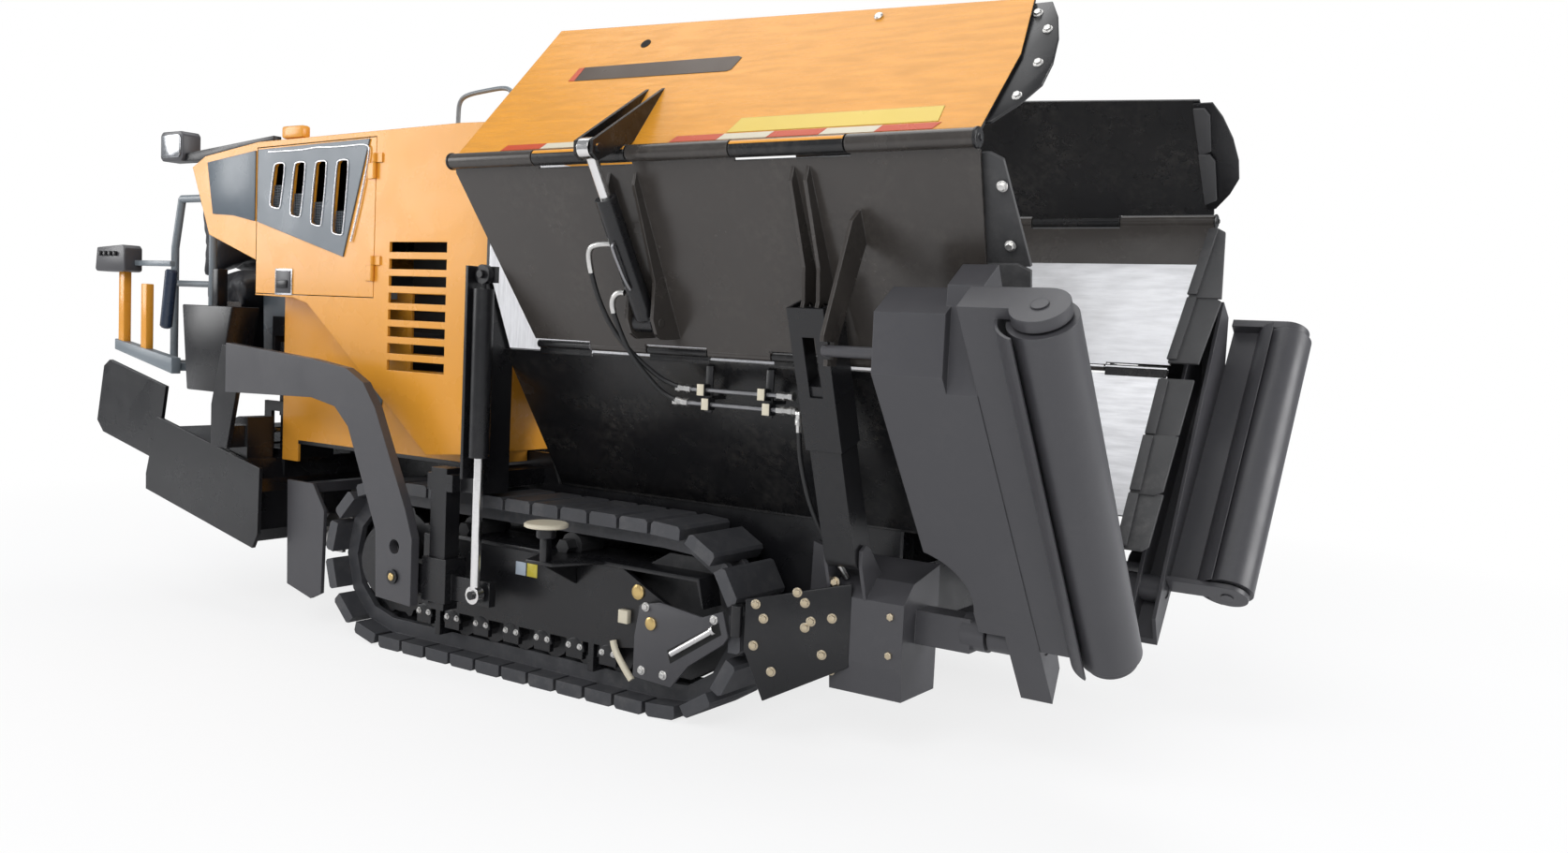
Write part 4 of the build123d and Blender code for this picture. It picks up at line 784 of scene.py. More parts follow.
@dataclass
class SubAssembly:
    """A group of pieces, made in one workshop."""

    shop: Workshop

    def build(self) -> None:
        """Make and fit every piece of the group."""
        raise NotImplementedError

    def fit(self, thing: Thing, finish: Finish, body: str = "machine") -> None:
        """Fit one finished piece on each side."""
        self.shop.fit(thing, finish, body)

    def group(self, name: str, things: list[Thing], finish: Finish, body: str = "machine") -> None:
        """Join several pieces and fit them as one."""
        self.fit(self.shop.joined(name, things), finish, body)

    def block(self, name: str, low: Point, high: Point, bevel: float, finish: Finish, body: str = "machine") -> None:
        """Make and fit an upright block between two corners."""
        self.fit(self.shop.block(name, low, high, bevel), finish, body)

    def slab(self, name: str, y: float, outline: Outline, depth: float, bevel: float, finish: Finish) -> None:
        """Make and fit an upright plate: its outline in X and Z, its inner face at y, and its thickness outward."""
        self.fit(self.shop.plate(name, upright(y).ring(outline), LEFT * depth, bevel), finish)

    def bolts(
        self, name: str, spots: list[Vector], out: Vector, size: float, finish: Finish = ZINC, body: str = "machine"
    ) -> None:
        """Make and fit a set of bolts."""
        self.fit(self.shop.bolts(name, spots, out, size), finish, body)


# ---------- hopper ----------
@dataclass
class HopperFlaps(SubAssembly):
    """Rubber flaps and their carriers along the hopper's front edges.

    A wing run is its low and high place up the face, and how far forward it reaches at each.
    """

    thick: float = 0.013
    strip: float = 0.012
    seat: float = 0.001
    lap: float = 0.006
    edge: float = 0.003
    wing_runs: tuple[tuple[float, float, float, float], ...] = ((0.03, 0.32, 2.150, 2.186), (0.31, 0.625, 2.186, 2.148))
    side_runs: Outline = ((-0.015, -0.275), (-0.265, -0.515), (-0.505, -0.735))
    wall_plate: Outline = (
        (2.068, 0.515), (2.140, 0.515), (2.172, 0.455), (2.200, 0.365), (2.212, 0.270), (2.206, 0.190), (2.165, 0.125),
        (2.105, 0.062), (2.068, 0.055),
    )
    wall_flaps: Outline = ((0.30, 0.50), (0.09, 0.31))
    wall_bolts: Outline = ((2.112, 0.47), (2.160, 0.40), (2.172, 0.27), (2.150, 0.15))

    def flap(self, face: Facing, outline: Outline, out: float) -> Thing:
        """One flap."""
        return self.shop.plate("flap", face.ring(outline, out), face.out * self.thick, self.edge)

    def clamp(self, face: Facing, outline: Outline, out: float) -> Thing:
        """The strip that clamps a flap along its inner edge."""
        return self.shop.plate("strip", face.ring(outline, out), face.out * -self.strip, self.edge)

    def wing(self) -> None:
        """Flaps ahead of the wing's floor."""
        face = WING_FACE
        flaps, spots = [], []
        for order, (low, high, low_reach, high_reach) in enumerate(self.wing_runs):
            near, far = (2.030 + 0.058 * along / 0.63 for along in (low, high))
            outline = ((near, low), (low_reach, low), (high_reach, high - 0.02), (high_reach - 0.035, high), (far, high))
            flaps.append(self.flap(face, outline, -self.thick - self.seat - order * self.lap))
            held = (
                (near - 0.004, low + 0.01), (near + 0.034, low + 0.01), (far + 0.034, high - 0.01), (far - 0.004, high - 0.01),
            )
            flaps.append(self.clamp(face, held, -self.thick - order * self.lap))
            reach = (low_reach + high_reach) / 2 - 0.028
            spots += [face.at(reach, low + (high - low) * share, self.seat) for share in (0.2, 0.72)]
        self.group("wing_flaps", flaps, FLAP, "wing")
        self.bolts("wing_flap_bolts", spots, face.out, 0.011, body="wing")

    def wall(self) -> None:
        """Carrier plate and flaps ahead of the side wall."""
        face = WALL_FACE
        carrier = self.shop.plate("wall_flap_carrier", face.ring(self.wall_plate, -0.010), face.out * 0.009, 0.002)
        self.fit(carrier, BLACK, "side_wall")
        flaps = []
        for order, (low, high) in enumerate(self.wall_flaps):
            outline = ((2.070, low), (2.118, low + 0.02), (2.130, high - 0.03), (2.112, high), (2.070, high))
            flaps.append(self.flap(face, outline, -0.024 - order * self.lap))
        self.group("wall_flaps", flaps, FLAP, "side_wall")
        self.bolts("wall_flap_bolts", face.ring(self.wall_bolts, -self.seat), face.out, 0.010, body="side_wall")

    def side(self) -> None:
        """Flaps down the front of the hopper's fixed side."""
        face = HOPPER_FACE
        flaps, spots = [], []
        for order, (top, low) in enumerate(self.side_runs):
            out = -self.thick - self.seat - (order % 2) * self.lap
            taper = 0.004 * order
            rear = 2.045 if order == 2 else 2.018
            outline = ((2.018, top), (2.148 - taper, top), (2.142 - taper, low + 0.02), (2.110, low), (rear, low))
            flaps.append(self.flap(face, outline, out))
            held = ((2.016, top - 0.01), (2.054, top - 0.01), (2.058, low + 0.01), (2.018, low + 0.01))
            flaps.append(self.clamp(face, held, out))
            spots += [face.at(2.116, top + (low - top) * share, self.seat) for share in (0.25, 0.8)]
        self.group("hopper_flaps", flaps, FLAP)
        self.bolts("hopper_flap_bolts", spots, face.out, 0.011)
        edge = ((2.014, -0.02), (2.044, -0.02), (2.044, -0.60), (2.014, -0.60))
        self.fit(self.shop.plate("hopper_edge_strip", face.ring(edge, 0.0105), face.out * 0.008, 0.002), SATIN)

    def build(self) -> None:
        """Make every flap."""
        self.wing()
        self.wall()
        self.side()


@dataclass
class WingMarkings(SubAssembly):
    """Stripe, reflective blocks and small fittings on the side wall's painted face."""

    skin: float = 0.0104
    sheet: float = 0.0008
    long: float = 0.1755
    first: float = 0.372
    low: float = 0.032
    high: float = 0.056
    blocks: int = 9
    hidden: tuple[int, ...] = (2, 3)
    front: float = 2.045
    slant: float = 0.02
    stripe: Outline = ((0.512, 0.346), (1.144, 0.330), (1.160, 0.336), (1.176, 0.388), (1.160, 0.396), (0.524, 0.410))
    stripe_end: Outline = ((0.484, 0.348), (0.511, 0.346), (0.523, 0.410), (0.498, 0.408))
    band: Outline = ((1.274, 0.060), (1.302, 0.118), (1.960, 0.118), (1.960, 0.060))

    def mark(self, name: str, corners: Outline) -> Thing:
        """A thin sheet stuck on the wall."""
        return self.shop.plate(name, WALL_FACE.ring(corners, self.skin), WALL_FACE.out * self.sheet, 0.0)

    def button(self, name: str, steps: Outline, x: float, up: float, finish: Finish) -> None:
        """A small turned piece on the wall."""
        base = WALL_FACE.at(x, up, self.skin - 0.0004)
        self.fit(self.shop.turned(name, steps, base, WALL_FACE.out), finish, "side_wall")

    def build(self) -> None:
        """Make the markings."""
        self.fit(self.mark("wing_stripe", self.stripe), STRIPE, "side_wall")
        self.fit(self.mark("wing_stripe_end", self.stripe_end), RED, "side_wall")
        self.fit(self.mark("wing_band", self.band), PALE, "side_wall")
        reds, creams = [], []
        for order in range(self.blocks):
            start = self.first + order * self.long
            end = min(start + self.long, self.front)
            if end < start + self.slant or order in self.hidden:
                continue
            corners = ((start, self.low), (end, self.low), (end + self.slant, self.high), (start + self.slant, self.high))
            (reds if order % 2 == 0 else creams).append(self.mark("block", corners))
        self.group("wing_blocks_red", reds, RED, "side_wall")
        self.group("wing_blocks_cream", creams, CREAM, "side_wall")
        # The lift hole is a thin near black disc on the wall: painted shade of the hole.
        self.button("wing_lift_hole_shade", ((0.0, 0.019), (0.001, 0.019), (0.0012, 0.014)), 0.735, 0.502, OPENING_SHADE)
        self.button("wing_stud", ((0.0, 0.014), (0.006, 0.014), (0.009, 0.010)), 1.608, 0.512, ZINC)


@dataclass
class BendPipe(SubAssembly):
    """End caps of the bend's hinge pipe."""

    rear: float = 0.172
    front: float = 2.095
    steps: Outline = ((0.0, 0.0285), (0.006, 0.0285), (0.009, 0.024))

    def build(self) -> None:
        """Make the caps."""
        centre = WING_FACE.at(0.0, 0.671, 0.010)
        caps = []
        for place, way in ((self.rear, -1.0), (self.front, 1.0)):
            base = centre + Vector((place - way * 0.004, 0.0, 0.0))
            outward = Vector((way, 0, 0))
            caps.append(self.shop.turned("cap", self.steps, base, outward))
            caps.append(self.shop.bolts("cap_bolt", [base + Vector((way * 0.008, 0, 0))], outward, 0.009))
        self.group("bend_pipe_caps", caps, BLACK, "wing")


@dataclass
class WallCylinderLines(SubAssembly):
    """Hoses and pipes that feed the side wall's cylinder, and the hose down to the front corner."""

    hose: float = 0.016
    pipe: float = 0.0085
    pipe_y: float = 0.820
    levels: tuple[float, float] = (1.113, 1.068)
    rears: tuple[float, float] = (0.985, 0.975)
    front: float = 1.345
    clamps_at: tuple[float, float] = (1.050, 1.285)
    clamp_shifts: tuple[float, float] = (-0.006, 0.014)
    nut_steps: Outline = (
        (-0.012, 0.0145), (0.010, 0.0145), (0.013, 0.012), (0.030, 0.012), (0.032, 0.0155), (0.046, 0.0155),
    )

    def elbow(self, name: str, points: list[Vector], radius: float) -> Thing:
        """A plated elbow with a hexagon nut at its start and a crimped sleeve at its end."""
        bend = self.shop.tube("bend", points, radius * 0.8, sides=4)
        start, toward = points[0], points[1] - points[0]
        nut = self.shop.turned("nut", [(-0.004, radius * 1.25), (0.014, radius * 1.25), (0.017, radius)], start, toward, 6)
        steps = [
            (0.0, radius * 1.15), (0.008, radius * 1.2), (0.012, radius * 1.05), (0.030, radius * 1.05), (0.034, radius * 1.2),
            (0.042, radius),
        ]
        sleeve = self.shop.turned("sleeve", steps, points[-1], points[-2] - points[-1], 16)
        return self.shop.joined(name, [bend, nut, sleeve])

    def centre_line(self, route: list[Vector]) -> list[Vector]:
        """Close points along a hose's centre."""
        bare = self.shop.route("centre", route, 0.0)
        self.shop.clear()
        bare.select_set(True)
        bpy.context.view_layer.objects.active = bare
        bpy.ops.object.convert(target="MESH")
        centre = [vertex.co.copy() for vertex in bpy.context.object.data.vertices]
        bpy.data.objects.remove(bpy.context.object)
        return centre

    def cord(self, name: str, points: list[Vector], body: str, share: float) -> None:
        """A hydraulic hose on each side at its real length, with a plated sleeve over its first part.

        Args:
            name: The hose's name.
            points: Its route, for the left side.
            body: The body that carries it, without its side.
            share: Share of its length that the sleeve covers.
        """
        bore = self.hose
        steps = [(-0.030, bore * 0.62), (-0.008, bore * 0.66), (-0.006, bore * 0.86), (0.012, bore * 0.86)]
        for side, way in (("left", 1.0), ("right", -1.0)):
            route = [Vector((p.x, p.y * way, p.z)) for p in points]
            centre = self.centre_line(route)
            covered = centre[: max(4, int(len(centre) * share))]
            sleeve = self.shop.tube(f"{name}_sleeve_{side}", covered, bore * 0.62, sides=4)
            line = self.shop.route(f"{name}_{side}", route, bore / 2, sides=4)
            HOSE.dress(line)
            carrier = body if body in SHARED_BODIES else f"{body}_{side}"
            fitting = self.shop.turned(f"{name}_fitting_{side}", steps, centre[-1], centre[-1] - centre[-3], 6)
            for piece in (sleeve, fitting):
                BRAID.dress(piece)
                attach(piece, carrier)
            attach(line, carrier)

    def hoses(self) -> None:
        """Two hoses from the cylinder to the pipes, and the thin pipe along its barrel."""
        face = WING_FACE
        upper = [
            face.at(0.866, 0.415, 0.102), face.at(0.820, 0.418, 0.104), face.at(0.762, 0.405, 0.108),
            face.at(0.745, 0.330, 0.108), Vector((0.752, 1.000, 1.370)), Vector((0.795, 0.955, 1.262)),
            Vector((0.870, 0.880, 1.165)), Vector((0.925, 0.828, 1.118)), Vector((0.978, self.pipe_y, 1.113)),
        ]
        lower = [
            face.at(0.864, 0.256, 0.112), face.at(0.842, 0.262, 0.116), face.at(0.804, 0.225, 0.122),
            face.at(0.806, 0.140, 0.120), Vector((0.826, 0.938, 1.225)), Vector((0.868, 0.890, 1.145)),
            Vector((0.916, 0.836, 1.076)), Vector((0.968, self.pipe_y, 1.068)),
        ]
        self.cord("cylinder_hose_upper", upper, "wall_barrel", 0.38)
        self.cord("cylinder_hose_lower", lower, "wall_barrel", 0.34)
        feed = [
            face.at(0.902, 0.430, 0.128), face.at(0.902, 0.435, 0.150), face.at(0.905, 0.400, 0.152),
            face.at(0.908, 0.300, 0.140), face.at(0.908, 0.275, 0.128),
        ]
        self.fit(self.shop.tube("cylinder_feed_pipe", feed, 0.006), STEEL_PIPE, "wall_barrel")

    def pipes(self) -> None:
        """Two pipes along the hopper's side, with their nuts, clamps and struts."""
        y = self.pipe_y
        pipes, fittings, clamps, plates = [], [], [], []
        for rear, z in zip(self.rears, self.levels):
            run = [Vector((x, y, z)) for x in (rear, (rear + self.front) / 2, self.front)]
            pipes.append(self.shop.tube("pipe", run, self.pipe, sides=4))
            for x, way in ((rear, -1.0), (self.front, 1.0)):
                fittings.append(self.shop.turned("nut", self.nut_steps, Vector((x, y, z)), Vector((way, 0, 0)), 6))
        for x in self.clamps_at:
            for z, shift in zip(self.levels, self.clamp_shifts):
                low = (x + shift - 0.015, y - 0.020, z - 0.019)
                high = (x + shift + 0.015, y + 0.016, z + 0.019)
                clamps.append(self.shop.block("clamp", low, high, 0.003))
                low = (x + shift - 0.0135, y + 0.0155, z - 0.0185)
                high = (x + shift + 0.0135, y + 0.0185, z + 0.0185)
                plates.append(self.shop.block("face", low, high, 0.0015))
            clamps.append(self.shop.block("strut", (x - 0.014, y - 0.028, 1.040), (x + 0.014, y - 0.020, 1.190), 0.002))
            clamps.append(self.shop.block("stub", (x - 0.014, 0.722, 1.082), (x + 0.014, y - 0.022, 1.094), 0.002))
        self.group("feed_pipes", pipes, STEEL_PIPE)
        self.group("feed_fittings", fittings, BRAID)
        self.group("feed_clamps", clamps, BLACK)
        self.group("feed_clamp_faces", plates, CREAM)

    def build(self) -> None:
        """Make the lines."""
        self.hoses()
        self.pipes()
        y, z = self.pipe_y, self.levels[1]
        bend = [Vector(place) for place in ((1.388, y, z), (1.406, y, z), (1.412, y, z - 0.012), (1.413, y - 0.002, z - 0.040))]
        self.fit(self.elbow("drop_elbow", bend, 0.011), BRAID)
        drop = [
            Vector((1.515, 0.658, 0.548)), Vector((1.500, 0.690, 0.600)), Vector((1.470, 0.745, 0.690)),
            Vector((1.448, 0.795, 0.790)), Vector((1.432, 0.815, 0.880)), Vector((1.416, 0.819, 0.960)),
            Vector((1.413, y - 0.002, 1.035)),
        ]
        self.cord("drop_hose", drop, "machine", 0.08)


# ---------- hood ----------
@dataclass
class DoorTrim(SubAssembly):
    """Bright edging, mesh and lock of the hood's side door, and the pane behind it."""

    face: float = 0.8465
    slots: int = 4
    first: float = -1.165
    pitch: float = 0.132
    foot: float = 1.712
    rise: float = 0.036
    top: float = 1.896
    bead: float = 0.0036
    wires: int = 9
    mesh: float = 0.010
    wave: Outline = (
        (-1.202, 1.944), (-0.989, 1.942), (-0.896, 1.952), (-0.822, 1.948), (-0.705, 1.949), (-0.592, 1.953),
        (-0.574, 1.930), (-0.602, 1.820), (-0.640, 1.680), (-0.676, 1.580),
    )
    pane: Outline = ((-1.628, 1.915), (-1.292, 1.953), (-1.292, 1.664), (-1.445, 1.690), (-1.585, 1.697))

    def slot(self, order: int) -> tuple[float, float]:
        """X and foot of one slanted vent slot."""
        return self.first + self.pitch * order, self.foot - self.rise * order

    def rim(self, order: int) -> Thing:
        """Bright bead round one slot."""
        (x, low), high = self.slot(order), self.top
        corners = (
            (x, high - 0.012), (x + 0.012, high), (x + 0.062, high + 0.002), (x + 0.074, high - 0.010),
            (x + 0.048, low + 0.008), (x + 0.036, low), (x - 0.012, low + 0.008), (x - 0.024, low + 0.020),
        )
        return self.shop.tube("rim", upright(self.face).ring(corners), self.bead, closed=True, sides=2)

    def screen(self, order: int) -> Thing:
        """Wire mesh behind the lower part of one slot."""
        x, low = self.slot(order)
        wires = []
        for step in range(self.wires):
            along = step * self.mesh
            wires.append(
                self.shop.block("wire", (x - 0.020 + along, 0.834, low + 0.012), (x - 0.018 + along, 0.836, low + 0.098), 0.0)
            )
            wires.append(
                self.shop.block("wire", (x - 0.020, 0.834, low + 0.012 + along), (x + 0.056, 0.836, low + 0.014 + along), 0.0)
            )
        return self.shop.joined("mesh", wires)

    def build(self) -> None:
        """Make the door's pieces."""
        rims = [self.rim(order) for order in range(self.slots)]
        edge = self.shop.tube("edge", upright(self.face).ring(self.wave), self.bead, sides=2)
        self.group("door_bright_edging", [*rims, edge], TRIM, "door")
        self.group("door_slot_mesh", [self.screen(order) for order in range(self.slots)], PANEL, "door")
        self.slab("hood_rear_pane", 0.8405, self.pane, 0.005, 0.002, PANEL)
        self.block("door_lock_frame", (-1.149, 0.8405, 1.364), (-1.038, 0.8450, 1.471), 0.002, TRIM, "door")
        self.block("door_lock_well", (-1.141, 0.8440, 1.372), (-1.046, 0.8475, 1.463), 0.002, SATIN, "door")
        self.block("door_lock_paddle", (-1.128, 0.8470, 1.392), (-1.062, 0.8540, 1.424), 0.003, BLACK, "door")


@dataclass
class HoodTrim(SubAssembly):
    """Near black sheet of painted shade behind the louvres, round vent, rail, bump and lamp of the hood."""

    vent: Point = (-0.687, 0.7255, 0.968)
    rings: tuple[float, ...] = (0.075, 0.060, 0.045, 0.030, 0.015)
    rail_y: float = 0.5
    rail: Outline = (
        (-0.475, 1.985), (-0.475, 2.11), (-0.470, 2.165), (-0.430, 2.188), (-0.320, 2.198), (-0.205, 2.205), (-0.170, 2.175),
        (-0.168, 2.10), (-0.168, 1.990),
    )
    bar: Outline = (
        (-1.828, 1.928), (-1.828, 1.962), (-1.198, 2.013), (-1.198, 1.990), (-1.281, 1.989), (-1.650, 1.943),
        (-1.680, 1.928),
    )
    shell: Outline = (
        (-1.970, 1.930), (-1.830, 1.930), (-1.815, 1.945), (-1.815, 2.043), (-1.830, 2.058), (-1.970, 2.058),
        (-1.985, 2.043), (-1.985, 1.945),
    )
    glass: Outline = (
        (-1.958, 1.944), (-1.842, 1.944), (-1.829, 1.957), (-1.829, 2.031), (-1.842, 2.044), (-1.958, 2.044),
        (-1.971, 2.031), (-1.971, 1.957),
    )

    def build(self) -> None:
        """Make the hood's pieces."""
        # A near black sheet inside the hood behind the louvres: painted shade.
        self.block("louvre_shade_sheet", (-0.468, 0.700, 1.240), (-0.128, 0.712, 1.600), 0.001, OPENING_SHADE)
        rings = []
        for order, radius in enumerate(self.rings):
            steps = [(0.0, radius), (0.004 + 0.0015 * order, radius), (0.006 + 0.0015 * order, radius - 0.004)]
            rings.append(self.shop.turned("ring", steps, Vector(self.vent), LEFT, 36))
        self.group("side_vent", rings, PANEL)
        rail = [Vector((x, self.rail_y, z)) for x, z in self.rail]
        self.fit(self.shop.tube("hood_grab_rail", rail, 0.009, sides=4), GREY)
        self.block("hood_latch_bump", (-1.134, 0.796, 1.996), (-1.000, 0.838, 2.046), 0.010, YELLOW)
        self.slab("lamp_bar", 0.790, self.bar, 0.038, 0.003, BLACK)
        self.slab("work_lamp_shell", 0.756, self.shell, 0.086, 0.006, SATIN)
        self.slab("work_lamp_glass", 0.841, self.glass, 0.007, 0.004, LENS)


# ---------- tracks ----------
@dataclass
class TrackFrameTrim(SubAssembly):
    """Guards, arm plate with its slot drawn as painted shade, gusset, reflector post, plates and grease elbow of the
    track frame.
    """

    face: float = 0.791
    plate_face: float = 0.7905
    arm_face: float = 0.8235
    roller_first: float = -0.2657
    roller_step: float = 0.1543
    roller_axis: float = 0.164
    cap_radius: float = 0.046
    cap_steps: int = 12
    rollers: int = 7
    arm_plate: Outline = (
        (0.800, 0.272), (0.820, 0.380), (0.904, 0.400), (1.079, 0.378), (1.160, 0.410), (1.186, 0.330), (1.166, 0.302),
        (1.030, 0.207), (0.962, 0.124), (0.800, 0.132),
    )
    arm_slot: Outline = ((0.958, 0.204), (1.160, 0.334), (1.148, 0.372), (0.944, 0.246))
    arm_bolts: Outline = ((0.846, 0.376), (1.128, 0.378), (0.838, 0.160), (0.930, 0.160))
    cover: Outline = (
        (-0.180, 0.482), (1.030, 0.482), (1.056, 0.394), (1.062, 0.396), (1.040, 0.496), (-0.180, 0.496),
    )

    def arm(self) -> None:
        """Plate that carries the front guard, with its slot as a near black sheet of painted shade, and the bright rod
        in the slot.
        """
        self.slab("track_arm_plate", 0.812, self.arm_plate, 0.012, 0.003, SATIN)
        # The slot is a thin near black sheet on the plate: painted shade.
        self.slab("track_arm_slot_shade", self.arm_face, self.arm_slot, 0.0012, 0.0, OPENING_SHADE)
        steps = ((0.0, 0.011), (0.190, 0.011), (0.192, 0.016), (0.204, 0.016))
        rod = self.shop.turned("track_tension_rod", steps, Vector((0.962, 0.826, 0.238)), Vector((0.84, 0.0, 0.54)), 16)
        self.fit(rod, CHROME)
        self.block("track_arm_spacer", (0.806, 0.790, 0.215), (0.900, 0.814, 0.372), 0.002, BLACK)
        large = ((0.0, 0.026), (0.006, 0.026), (0.009, 0.020), (0.010, 0.012))
        small = ((0.0, 0.022), (0.006, 0.022), (0.009, 0.016))
        discs = [
            self.shop.turned("disc", large, Vector((0.786, self.face, 0.413)), LEFT),
            self.shop.turned("disc", small, Vector((0.872, self.arm_face, 0.324)), LEFT),
        ]
        self.group("track_arm_discs", discs, BRASS)
        self.bolts("track_arm_bolts", upright(0.824).ring(self.arm_bolts), LEFT, 0.011)

    def top(self) -> None:
        """Gusset, web and the short post with its round reflector."""
        gusset = [Vector((x, y, 0.486)) for x, y in ((0.360, 0.789), (0.640, 0.789), (0.552, 0.968), (0.430, 0.968))]
        web = [Vector((0.494, y, z)) for y, z in ((0.792, 0.400), (0.960, 0.486), (0.792, 0.486))]
        collar = ((0.0, 0.030), (0.004, 0.034), (0.034, 0.034), (0.038, 0.030))
        parts = [
            self.shop.plate("gusset", gusset, Vector((0, 0, 0.012)), 0.003),
            self.shop.plate("web", web, Vector((0.012, 0, 0)), 0.002),
            self.shop.block("post", (0.490, 0.935, 0.498), (0.520, 0.965, 0.580), 0.003),
            self.shop.turned("collar", collar, Vector((0.505, 0.950, 0.578)), UP, 32),
        ]
        self.group("frame_gusset", parts, BLACK)
        steps = ((0.0, 0.070), (0.003, 0.075), (0.012, 0.075), (0.016, 0.069), (0.017, 0.020))
        self.fit(self.shop.turned("frame_reflector", steps, Vector((0.505, 0.950, 0.615)), UP, 40), CREAM)

    def guards(self) -> None:
        """Half round guards over the bottom rollers' ends, with two bolts each."""
        caps, spots = [], []
        for order in range(self.rollers):
            x = self.roller_first + self.roller_step * order
            turns = [math.pi * step / self.cap_steps for step in range(self.cap_steps + 1)]
            outline = [
                (x + self.cap_radius * math.cos(turn), self.roller_axis + self.cap_radius * math.sin(turn)) for turn in turns
            ]
            caps.append(self.shop.plate("cap", upright(0.772).ring(outline), Vector((0, 0.020, 0)), 0.003))
            spots += [Vector((x - 0.026, 0.792, 0.180)), Vector((x + 0.026, 0.792, 0.180))]
        self.group("roller_guards", caps, BLACK)
        self.bolts("roller_guard_bolts", spots, LEFT, 0.008)

    def small(self) -> None:
        """Two blank plates, the grease box and its elbow, and the cover along the top."""
        y = self.plate_face
        self.block("frame_plate_pale", (0.212, y, 0.392), (0.262, 0.7925, 0.440), 0.0005, PALE_BLUE)
        self.block("frame_plate_yellow", (0.268, y, 0.392), (0.318, 0.7925, 0.440), 0.0005, PLATE_YELLOW)
        self.block("grease_box", (0.716, y, 0.300), (0.758, 0.812, 0.346), 0.003, CREAM)
        line = [
            Vector((0.690, 0.800, 0.232)), Vector((0.700, 0.803, 0.206)), Vector((0.722, 0.806, 0.180)),
            Vector((0.756, 0.806, 0.140)), Vector((0.780, 0.803, 0.112)),
        ]
        self.fit(self.shop.tube("grease_elbow", line, 0.012, sides=4), CREAM)
        self.slab("frame_top_cover", 0.560, self.cover, 0.236, 0.002, BLACK)

    def build(self) -> None:
        """Make the track frame's pieces."""
        self.arm()
        self.top()
        self.guards()
        self.small()


# ---------- front ----------
@dataclass
class FrontGuard(SubAssembly):
    """Slanted guard plate between the track and the front corner, its hinge, and both sets of bolts."""

    start: tuple[float, float] = (1.246, 0.822)
    end: tuple[float, float] = (1.562, 0.701)
    spots: Outline = (
        (1.278, 0.451), (1.303, 0.407), (1.276, 0.318), (1.333, 0.240), (1.428, 0.391), (1.482, 0.310), (1.445, 0.412),
        (1.425, 0.469), (1.401, 0.500), (1.507, 0.428),
    )
    rear_column: tuple[float, ...] = (0.260, 0.320, 0.440, 0.540)
    front_column: tuple[float, ...] = (0.340, 0.460)

    def build(self) -> None:
        """Make the guard."""
        along = Vector((self.end[0] - self.start[0], self.end[1] - self.start[1], 0.0))
        length = along.length
        along.normalize()
        out = Vector((-along.y, along.x, 0.0))
        base = Vector((*self.start, 0.0))
        outline = ((0.0, 0.463), (length, 0.542), (length, 0.278), (0.068, 0.142), (0.0, 0.303))
        ring = [base + along * s + Vector((0, 0, z)) for s, z in outline]
        self.fit(self.shop.plate("front_guard", ring, out * -0.012, 0.003), BLACK)
        spots = [base + along * ((x - self.start[0]) / along.x) + Vector((0, 0, z)) for x, z in self.spots]
        self.bolts("front_guard_bolts", spots, out, 0.011, GOLD)
        ends = [Vector((1.500, 0.702, z)) for z in self.rear_column]
        ends += [Vector((1.700, 0.695, z)) for z in self.front_column]
        self.bolts("corner_bolts", ends, LEFT, 0.012, GOLD)
        hinge = self.shop.turned("front_guard_hinge", ((0.0, 0.020), (0.100, 0.020)), Vector((1.212, 0.818, 0.338)), UP, 20)
        self.fit(hinge, BLACK)


# ---------- rear ----------
@dataclass
class SideStand(SubAssembly):
    """Beam, posts, remote box and side box beside the operator's deck."""

    inner: float = 0.828
    width: float = 0.044
    beam: Outline = ((-2.283, 1.136), (-1.831, 1.070), (-1.831, 1.000), (-2.283, 1.088))
    remote: Outline = (
        (-2.384, 1.450), (-2.370, 1.548), (-2.160, 1.560), (-2.143, 1.546), (-2.143, 1.446), (-2.160, 1.440),
        (-2.370, 1.440),
    )
    knobs: tuple[float, ...] = (-2.330, -2.290, -2.250, -2.210)
    case: Outline = ((-1.760, 1.307), (-1.400, 1.307), (-1.500, 0.940), (-1.720, 0.940))
    damper: Outline = ((0.0, 0.020), (0.008, 0.026), (0.250, 0.026), (0.258, 0.020), (0.262, 0.010))

    def build(self) -> None:
        """Make the stand."""
        near, far = self.inner + 0.004, self.inner + 0.040
        parts = [
            self.shop.plate("beam", upright(self.inner).ring(self.beam), Vector((0, self.width, 0)), 0.003),
            self.shop.block("foot", (-1.900, 0.735, 1.012), (-1.845, near, 1.048), 0.003),
        ]
        self.group("stand_beam", parts, GREY)
        posts = [
            self.shop.block("post", (-2.262, near, 1.110), (-2.218, far, 1.444), 0.004),
            self.shop.block("post", (-2.082, near, 1.085), (-2.038, far, 1.390), 0.004),
        ]
        self.group("stand_posts", posts, YELLOW)
        self.slab("remote_box", self.inner - 0.002, self.remote, 0.084, 0.005, SATIN)
        steps = ((0.0, 0.011), (0.012, 0.011), (0.015, 0.007))
        knobs = [self.shop.turned("knob", steps, Vector((x, self.inner + 0.081, 1.520)), LEFT, 14) for x in self.knobs]
        self.group("remote_knobs", knobs, BLACK)
        self.block("remote_arm", (-2.150, self.inner + 0.010, 1.470), (-1.868, self.inner + 0.034, 1.494), 0.003, GREY)
        self.slab("side_box", 0.736, self.case, 0.134, 0.006, BLACK)
        self.block("side_column", (-1.606, 0.780, 1.300), (-1.566, 0.830, 1.465), 0.004, BLACK)
        damper = self.shop.turned("damper", self.damper, Vector((-1.874, 0.850, 1.455)), Vector((-0.15, 0, -0.99)), 24)
        self.fit(damper, BLUE)


